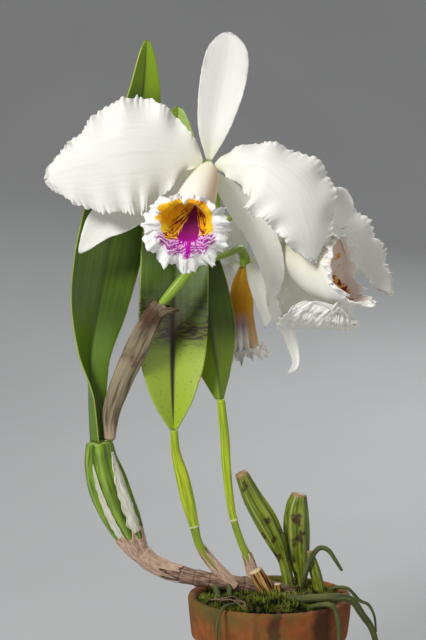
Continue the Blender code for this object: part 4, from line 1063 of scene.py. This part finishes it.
# Petal flesh looks soft and warm white, lets light through, and shows faint veins along its length.
petal_white, tree, at = start_material("white_petal", roughness=0.55, specular_ior_level=0.35,
                                       subsurface_weight=0.3,
                                       subsurface_scale=0.003, sheen_weight=0.08)
veins = stretched(tree, at.flat, (46, 3, 1), Scale=1.2, Detail=3, Distortion=0.6)
tones = add(tree, "ValToRGB", veins, stops=((0.3, "EBE9DE"), (0.5, "F3F1E8")))
greening = add(tree, "MapRange", at.up, 0.0, 0.16, 0.5, 0)
foot_green = add(tree, "MixRGB", greening, tones, "CBD29C")
cells = add(tree, "TexNoise", at.object, Scale=1800, Detail=1)
vein_relief = add(tree, "Bump", Strength=0.05, Distance=0.0004, Height=veins)
finish(tree, foot_green, cells, 0.1, 0.0002, vein_relief)

for place_name, organs in ORGANS.items():
    hub, facing = seat(place_name)
    for number, (name, shape) in enumerate(organs.items()):
        petal = name.startswith("petal")
        first = Vector(shape["spine"][0])
        outward = (first - facing * first.dot(facing)).normalized()
        start = outward * RING_RADIUS + facing * (0.8 if petal else -1.2)
        spine = [hub + p for p in [start] + vectors(shape["spine"])]
        look = {key: value for key, value in shape.items() if key != "spine"}
        rows, across, crimp, teeth, pleats = (240, 34, 2.3, 0.055, 36) if petal else (90, 16, 0.8, 0.022, 0)
        if "gathered" in look:
            across = 60
        grid = blade_grid(spine, rows=rows, across=across, crimp=crimp, teeth=teeth, pleats=pleats, soft=0.05,
                          seed=number * 3 + len(place_name), **look)
        piece_name = f"{place_name}_bloom_{name}"
        place_piece(piece_name, sheet(grid, 0.7, thinning=0.5), petal_white, "petal",
                    f"bloom_{place_name}_{name}")

# Lips: the lowest petal of each bloom, rolled into a cream tube round the column and opened into a frilled
# mouth. Inside, two orange-yellow eyes flank a magenta stripe that breaks into purple veins, and the frill is
# white.
LIPS = {
    "front": dict(axis=[(-1.5, -10, -6), (-6, -21, -17), (-11.5, -31, -30)], radii=[3.0, 7.0, 10.2, 11],
                  mouth=(-0.1, -0.95, -0.35), reach=[14, 18, 23, 27, 28, 25, 22, 17], turned=0.35),
    "right": dict(axis=[(7, -7, -12), (15, -12, -19), (25, -17, -24)], radii=[3.0, 14, 18.5, 19.5],
                  mouth=(0.93, -0.36, 0.05), reach=[20, 20.5, 22, 21, 19, 21, 24, 22], turned=0.3, lobe=18),
    "back": dict(axis=[(-1.5, 6, -14), (-2.5, 11, -33), (-1, 16, -52)], radii=[3.0, 6.4, 7.6, 8],
                 mouth=(0.2, 0.1, -0.97), reach=[14, 17, 19, 20, 19, 15, 12.5, 12.5], turned=0.1),
}
FRILLS, FRILL_DEPTH, FRILL_REACH, LIP_START = 12, 3.2, 1.8, 1.9
LIP_SIDES, TUBE_RINGS, FRILL_RINGS = 300, 30, 30


def lip_grid(place_name):
    """Middle surface of a lip: a tube that opens into a frilled mouth, crimped ever finer to its edge."""
    lip = LIPS[place_name]
    hub, facing = seat(place_name)
    axis = [hub + facing * LIP_START] + [hub + Vector(p) for p in lip["axis"]]
    mouth = Vector(lip["mouth"]).normalized()
    top = (Vector((0, 0, 1)) - mouth * mouth.z).normalized()
    if abs(mouth.z) > 0.85:
        to_eye = Vector((-0.2, -1, 0))
        top = (to_eye - mouth * mouth.dot(to_eye)).normalized()
    turns = [math.tau * k / LIP_SIDES for k in range(LIP_SIDES)]
    grid = []
    for i in range(TUBE_RINGS + 1):
        t = i / TUBE_RINGS
        ahead = facing.lerp(heading(axis, t), min(3 * t, 1)).lerp(mouth, t * t * 0.8).normalized()
        up = (top - ahead * top.dot(ahead)).normalized()
        beside = ahead.cross(up)
        centre, radius = along(axis, t), along(lip["radii"], t)
        # The lip seen from behind is gathered into folds towards its mouth.
        gather = 0.24 * max(0, (t - 0.6) / 0.4) if place_name == "back" else 0
        spokes = [(a, up * math.cos(a) + beside * math.sin(a)) for a in turns]
        grid.append([centre + spoke * radius * (1 + gather * math.cos(FRILLS * a)) for a, spoke in spokes])
    beside = mouth.cross(top)
    reach, mouth_radius = lip["reach"] + [lip["reach"][0]], lip["radii"][-1]
    for i in range(1, FRILL_RINGS + 1):
        t = i / FRILL_RINGS
        ring = []
        for a in turns:
            around = a / math.tau
            near = Vector((math.cos(a) * 4, math.sin(a) * 4, t * 0.8))
            phase = FRILLS * a + 1.1 * noise.noise(near * 0.5)
            height = 0.75 + 0.9 * abs(noise.noise(near * 0.7))
            frill = math.cos(phase) * height
            scallop = (1.6 * abs(math.cos(phase / 2 + 0.4)) ** 0.7 - 0.8) * height
            cleft = math.exp(-((min(around, 1 - around) + 0.012) / 0.035) ** 2)
            fine = math.cos(29 * a + 5 * noise.noise(near * 0.6)) * t ** 3
            crimp = (noise.noise(near * 2.1) + 0.5 * noise.noise(near * 4.6)) * t ** 3
            coarse, middling = noise.noise(near * 3 + Vector((5, 0, 0))), noise.noise(near * 6.5)
            notch = (coarse + 0.6 * middling + 0.35 * noise.noise(near * 14)) * t ** 5
            radius = (mouth_radius + (along(reach, around) - mouth_radius) * t ** 1.2
                      + scallop * FRILL_REACH * t ** 2.6
                      + 2.2 * notch + 0.3 * fine - 3 * cleft * t)
            forward = (5.5 * math.sin(t * 1.9) - lip["turned"] * 14 * t * t + frill * FRILL_DEPTH * t ** 2.6
                       + 3.8 * crimp
                       + 0.8 * fine + lip.get("lobe", 0) * max(0, -math.cos(a)) ** 1.5 * t ** 1.2)
            sway = a + 0.11 * crimp + 0.015 * fine
            spoke = top * math.cos(sway) + beside * math.sin(sway)
            ring.append(axis[-1] + spoke * radius + mouth * forward)
        grid.append(ring)
    return grid


def lip_material(name, outside, eye_reach=(0.47, 0.69, 0.91), purple=1.0, ground="FBF8F3", flank_tint_and_shade="DDB48C",
                 eyes=("EFA000", "FFCE24")):
    """Fleshy, velvety lip with its colours laid out round the mouth and along its length, as its veins run.

    Outside gives places and colours of the outer side from foot to margin, eye_reach how far the yellow goes
    at the bottom, the sides and the top, purple weakens the veins and the flush, ground is the
    colour of the lip between them, and the flank colour is laid down both sides of the tube: painted shade on
    the front and right lips, the tube's own orange on the back one.
    """
    material, tree, at = start_material(name, roughness=0.7, specular_ior_level=0.18, subsurface_weight=0.2,
                                        subsurface_scale=0.002)
    where = at.object
    inside = add(tree, "Attribute", attribute_name="inner").outputs["Fac"]
    around, out = at.side, at.up
    # Round the mouth 0.5 is the lowest point, so this is 0 on the middle line of the lip and 0.5 at its top.
    from_line = distance(tree, around, 0.5)
    blur = add(tree, "TexNoise", where, Scale=260, Detail=3)
    shaken = add(tree, "Math", blur, 0.1, out, operation="MULTIPLY_ADD")
    reach = add(tree, "Math", shaken, 0.05, operation="SUBTRACT")
    # Yellow: the throat, an eye on each side and nearly all of the short upper lobes.
    side_limit = add(tree, "MapRange", from_line, 0.05, 0.25, eye_reach[0], eye_reach[1], **SMOOTH)
    top_limit = add(tree, "MapRange", from_line, 0.27, 0.38, 0, eye_reach[2] - eye_reach[1], **SMOOTH)
    limit = add(tree, "Math", side_limit, top_limit)
    patches = add(tree, "TexNoise", where, Scale=210, Detail=5)
    frayed_limit = add(tree, "Math", patches, 0.5, limit, operation="MULTIPLY_ADD")
    short_by = add(tree, "Math", frayed_limit, reach, operation="SUBTRACT")
    short_of = add(tree, "Math", short_by, 0.25, operation="SUBTRACT")
    yellow = add(tree, "MapRange", short_of, -0.03, 0.02, **SMOOTH)
    golden = add(tree, "TexNoise", where, Scale=110, Detail=3)
    eye_tones = add(tree, "ValToRGB", golden, stops=((0.36, eyes[0]), (0.62, eyes[1])))
    marked = add(tree, "MixRGB", yellow, ground, eye_tones)
    # Lilac flush over the lower lobe, between the yellow and the frill.
    flush_start = add(tree, "MapRange", reach, 0.42, 0.55, **SMOOTH)
    flush_end = add(tree, "MapRange", reach, 0.84, 0.68, 0, 0.7 * purple, **SMOOTH)
    flush_side = add(tree, "MapRange", from_line, 0.26, 0.1, **SMOOTH)
    flush_length = add(tree, "Math", flush_start, flush_end, operation="MULTIPLY")
    flush = add(tree, "Math", flush_length, flush_side, operation="MULTIPLY")
    not_yellow = add(tree, "MapRange", yellow, 1, 0)
    flush = add(tree, "Math", flush, not_yellow, operation="MULTIPLY")
    flushed = add(tree, "MixRGB", flush, marked, "D563CE")
    # Veins: they leave the middle line like the barbs of a feather, bend outward, and fork towards the frill.
    warp = stretched(tree, at.flat, (14, 6, 1), Scale=1.5, Detail=3)
    along_lip = add(tree, "MapRange", out, 0.3, 0.76, 0, 7)
    warped = add(tree, "Math", warp, 3.4, along_lip, operation="MULTIPLY_ADD")
    barbs = add(tree, "Math", from_line, -23, warped, operation="MULTIPLY_ADD")
    vein = None
    for share, thick_from, thick_to, near, far in ((1, 0.36, 0.8, 0.25, 0.17), (2, 0.56, 0.7, -0.06, 0.13)):
        # The second time round draws the forks, which start only half way out.
        scaled = add(tree, "Math", barbs, share, operation="MULTIPLY")
        part = add(tree, "Math", scaled, operation="FRACT")
        off_vein = distance(tree, part, 0.5)
        thickness = add(tree, "MapRange", out, thick_from, thick_to, near, far, **SMOOTH)
        in_vein = add(tree, "Math", thickness, off_vein, operation="SUBTRACT")
        drawn = add(tree, "MapRange", in_vein, -0.03, 0.05, **SMOOTH)
        vein = add(tree, "Math", drawn, vein or 0.0, operation="MAXIMUM")
    broken = add(tree, "TexNoise", where, Scale=300, Detail=3)
    gaps = add(tree, "MapRange", broken, 0.3, 0.42, **SMOOTH)
    vein_side = add(tree, "MapRange", from_line, 0.215, 0.17, **SMOOTH)
    vein_start = add(tree, "MapRange", out, 0.32, 0.4, **SMOOTH)
    vein_end = add(tree, "MapRange", reach, 0.84, 0.76, 0, 0.96, **SMOOTH)
    vein_strength = add(tree, "Math", yellow, 1 - purple, purple, operation="MULTIPLY_ADD")
    for bound in (gaps, vein_side, vein_start, vein_end, vein_strength):
        vein = add(tree, "Math", vein, bound, operation="MULTIPLY")
    vein_tone = add(tree, "MixRGB", yellow, "92087E", "7E0E22")
    veined = add(tree, "MixRGB", vein, flushed, vein_tone)
    # Magenta stripe down the middle line, darkest in the throat, its far end split into fingers.
    fingers = stretched(tree, at.flat, (40, 2, 1), Scale=1, Detail=2)
    width = add(tree, "MapRange", out, 0.26, 0.5, 0.035, 0.085, **SMOOTH)
    frayed = add(tree, "Math", blur, 0.05, width, operation="MULTIPLY_ADD")
    in_stripe = add(tree, "Math", frayed, from_line, operation="SUBTRACT")
    stripe = add(tree, "MapRange", in_stripe, 0.015, 0.03, **SMOOTH)
    less_far = add(tree, "MapRange", from_line, 0, 0.07, 0, -0.14)
    split = add(tree, "Math", fingers, less_far)
    far_end = add(tree, "MapRange", split, 0.36, 0.56, 0.54, 0.8, **SMOOTH)
    before_end = add(tree, "Math", far_end, reach, operation="SUBTRACT")
    stripe_end = add(tree, "MapRange", before_end, -0.02, 0.02, **SMOOTH)
    striped_part = add(tree, "Math", stripe, stripe_end, operation="MULTIPLY")
    faded = add(tree, "Math", striped_part, min(1.0, 0.25 + purple), operation="MULTIPLY")
    stripe_tone = add(tree, "ValToRGB", out, stops=((0.3, "5A0A2E"), (0.46, "7A0656"), (0.56, "B404A0")))
    striped = add(tree, "MixRGB", faded, veined, stripe_tone)
    margin = add(tree, "MapRange", reach, 0.84, 0.95, **SMOOTH)
    edged = add(tree, "MixRGB", margin, striped, "FBF9F4")
    # Outer side: colours from foot to margin, with painted shade down both sides of the tube, peach on the
    # front lip and grey cream on the right one; on the back lip the same mix lays the tube's own orange
    # there.
    outer = add(tree, "ValToRGB", out, stops=outside)
    off_flank = distance(tree, from_line, 0.3)
    flank_tint_and_shade_amount = add(tree, "MapRange", off_flank, 0.15, 0.03, 0, 0.7, **SMOOTH)
    tube_part = add(tree, "MapRange", out, 0.6, 0.45, **SMOOTH)
    shade = add(tree, "Math", flank_tint_and_shade_amount, tube_part, operation="MULTIPLY")
    shaded = add(tree, "MixRGB", shade, outer, flank_tint_and_shade)
    two_sided = add(tree, "MixRGB", inside, shaded, edged)
    finish(tree, two_sided, warp, 0.25, 0.0004)
    return material


# Column: the waxy cream finger inside each lip, thicker towards its rounded cap.
COLUMN_RADII = [1.8, 2.3, 3.0, 2.4]
# The column looks smooth and waxy, and is greener at its foot.
waxy_cream, tree, at = start_material("waxy_cream_column", roughness=0.35, specular_ior_level=0.5,
                                      subsurface_weight=0.3, subsurface_scale=0.003)
flushed = add(tree, "TexNoise", at.object, Scale=300, Detail=2)
capped = add(tree, "Math", flushed, 0.3, at.up, operation="MULTIPLY_ADD")
tones = add(tree, "ValToRGB", capped, stops=((0.2, "DDE0B4"), (0.7, "F5F1DC")))
finish(tree, tones)
LIP_LOOKS = {
    "front": lip_material("velvety_lip", ((0, "F3E7C4"), (0.3, "FBF3DF"), (0.6, "FCFAF3"))),
    # The lip turned right is painted in shade: its greyer cream outer side, its beige pink ground and its
    # grey cream flanks are painted shade of a white lip.
    "right": lip_material("velvety_lip_turned_right", ((0, "E9E4CC"), (0.3, "F0EDDF"), (0.6, "FBF9F3")),
                          (0.66, 0.38, 0.38), 0.12,
                          "F0E2D6", "E6E0C8", ("D98A2B", "F0B95A")),
    "back": lip_material("velvety_lip_seen_from_behind",
                         ((0.04, "C8962A"), (0.28, "BC8012"), (0.36, "A98C92"), (0.45, "F4F0EC")),
                         (0.47, 0.5, 0.5),
                         flank_tint_and_shade="D39C22"),
}
for place_name, lip in LIPS.items():
    name = f"{place_name}_bloom_lip"

    def throat(ring, k):
        """Flesh on the floor and sides of the throat, which closes it to a narrow gap under the column."""
        t = ring / TUBE_RINGS
        if t >= 1:
            return 0
        depth = min(1, (1 - t) / 0.45)
        depth = depth * depth * (3 - 2 * depth)
        return along(lip["radii"], t) * (0.85 - 0.45 * math.cos(math.tau * k / LIP_SIDES)) * 0.9 * depth

    place_piece(name, sheet(lip_grid(place_name), 0.6, closed=True, thinning=0.4, flesh=throat),
                LIP_LOOKS[place_name],
                "lip", f"bloom_{place_name}_lip")
    hub, facing = seat(place_name)
    axis = [hub + facing * 1.2, hub + facing * 4] + [hub + Vector(p) for p in lip["axis"][:2]]
    path = [along(axis, t) for t in (0, 0.33, 0.6, 0.9)]
    name = f"{place_name}_bloom_column"
    place_piece(name, tube(tube_rings(path, COLUMN_RADII, 30, 28), 1.0), waxy_cream, "column",
                f"bloom_{place_name}_column")

# Roots: grey-green and spongy, as thick as string, that creep over the moss, hang over the rim and end in
# green or tan tips.
ROOTS = {
    "root_over_rim": ([(6, -14, 90.5), (14, -23, 91), (26, -27, 92.5), (38, -28, 93.2), (46, -26, 91),
                       (53, -22, 81),
                       (58.5, -17, 72), (62, -13, 60), (63.5, -11, 46)], 2.2),
    "root_arched": ([(20, 7, 88), (20.5, 1, 97), (23.5, -1, 108), (28.5, -2, 115.5), (34, -3, 115),
                     (38.5, -5, 109),
                     (42, -6, 103.5)], 1.5),
    "root_thin_right": ([(31, 8, 86), (38, 4, 90.6), (46, 1, 91), (53, 1, 84), (58.5, 2, 81), (62, 2, 74),
                         (63, 1, 65)], 1.0),
    "root_hanging": ([(22, -30, 88), (30, -36, 91), (35.4, -38, 89.5), (37.6, -38.5, 80), (38.2, -37, 70),
                      (37, -35.5, 58)], 1.4),
    "root_thin_left": ([(-16, -22, 88), (-23.5, -34, 90.5), (-28, -42, 90), (-31, -46.5, 82),
                        (-31.2, -45, 71),
                        (-30.5, -42.6, 60)], 0.8),
    "root_tip": ([(-32, -2, 94), (-31, -5, 90.5), (-29, -8, 86)], 1.9),
    "root_green": ([(-24, -3, 94), (-23.6, -7, 89.5), (-24.4, -10, 85)], 1.5),
}


def spongy(turn, t):
    """Slight unevenness of a root."""
    return 1 + 0.09 * uneven_at(turn * 5, t * 16, 8)


# Roots look dull and felted.
root_skin = green_stem_material("spongy_grey_green_root", "666C38", "2F3518", rough=0.8)
for name, (path, radius) in ROOTS.items():
    radii = [radius, radius * 1.05, radius, radius * 0.85, radius * 0.55]
    place_piece(name + "_skin", tube(tube_rings(path, radii, 70, 18, spongy), 1.0), root_skin, "root", name)

# Wiry old roots, less than a millimetre thick, lie loose in arcs over the moss. Each follows its own short
# path.
WIRY_COUNT, WIRY_HALF_THICKNESS = 16, 0.35
wires = bpy.data.curves.new("wiry_roots", "CURVE")
wires.dimensions = "3D"
# Without a seed of its own, noise_vector would differ from run to run.
noise.seed_set(7)
for k in range(WIRY_COUNT):
    spot = Vector((-28 + 60 * ((k * 0.618) % 1), -30 + 48 * ((k * 0.382 + 0.2) % 1), 89.5))
    way = Vector((math.cos(k * 2.4), math.sin(k * 2.4), 0))
    line = wires.splines.new("NURBS")
    line.points.add(5)
    for i in range(6):
        wander = noise.noise_vector(Vector((k * 3.1, i * 0.7, 2))) * 5
        arch = 2.2 * math.sin(math.pi * i / 5) + 0.6 * wander.z - 0.6
        point = spot + way * (i - 2.5) * 3.6 + Vector((wander.x, wander.y, arch))
        line.points[i].co = (*(point * MM), 1)
    line.order_u, line.use_endpoint_u, line.resolution_u = 4, True, 6
tree, given = start_tree("wiry_roots", ("Paths", "Geometry"), ("Half thickness", "Float"),
                         ("Roots", "Geometry"))
section = add(tree, "GeometryNodeCurvePrimitiveCircle", Resolution=6, Radius=given.outputs["Half thickness"])
swept = add(tree, "GeometryNodeCurveToMesh", Curve=given.outputs["Paths"], Profile_Curve=section,
            Fill_Caps=True)
wire_mesh = grown(put_in_scene("wiry_roots", wires), tree, swept, woody,
                  {"Half thickness": WIRY_HALF_THICKNESS * MM})
place_piece("wiry_roots", wire_mesh, woody, "root")
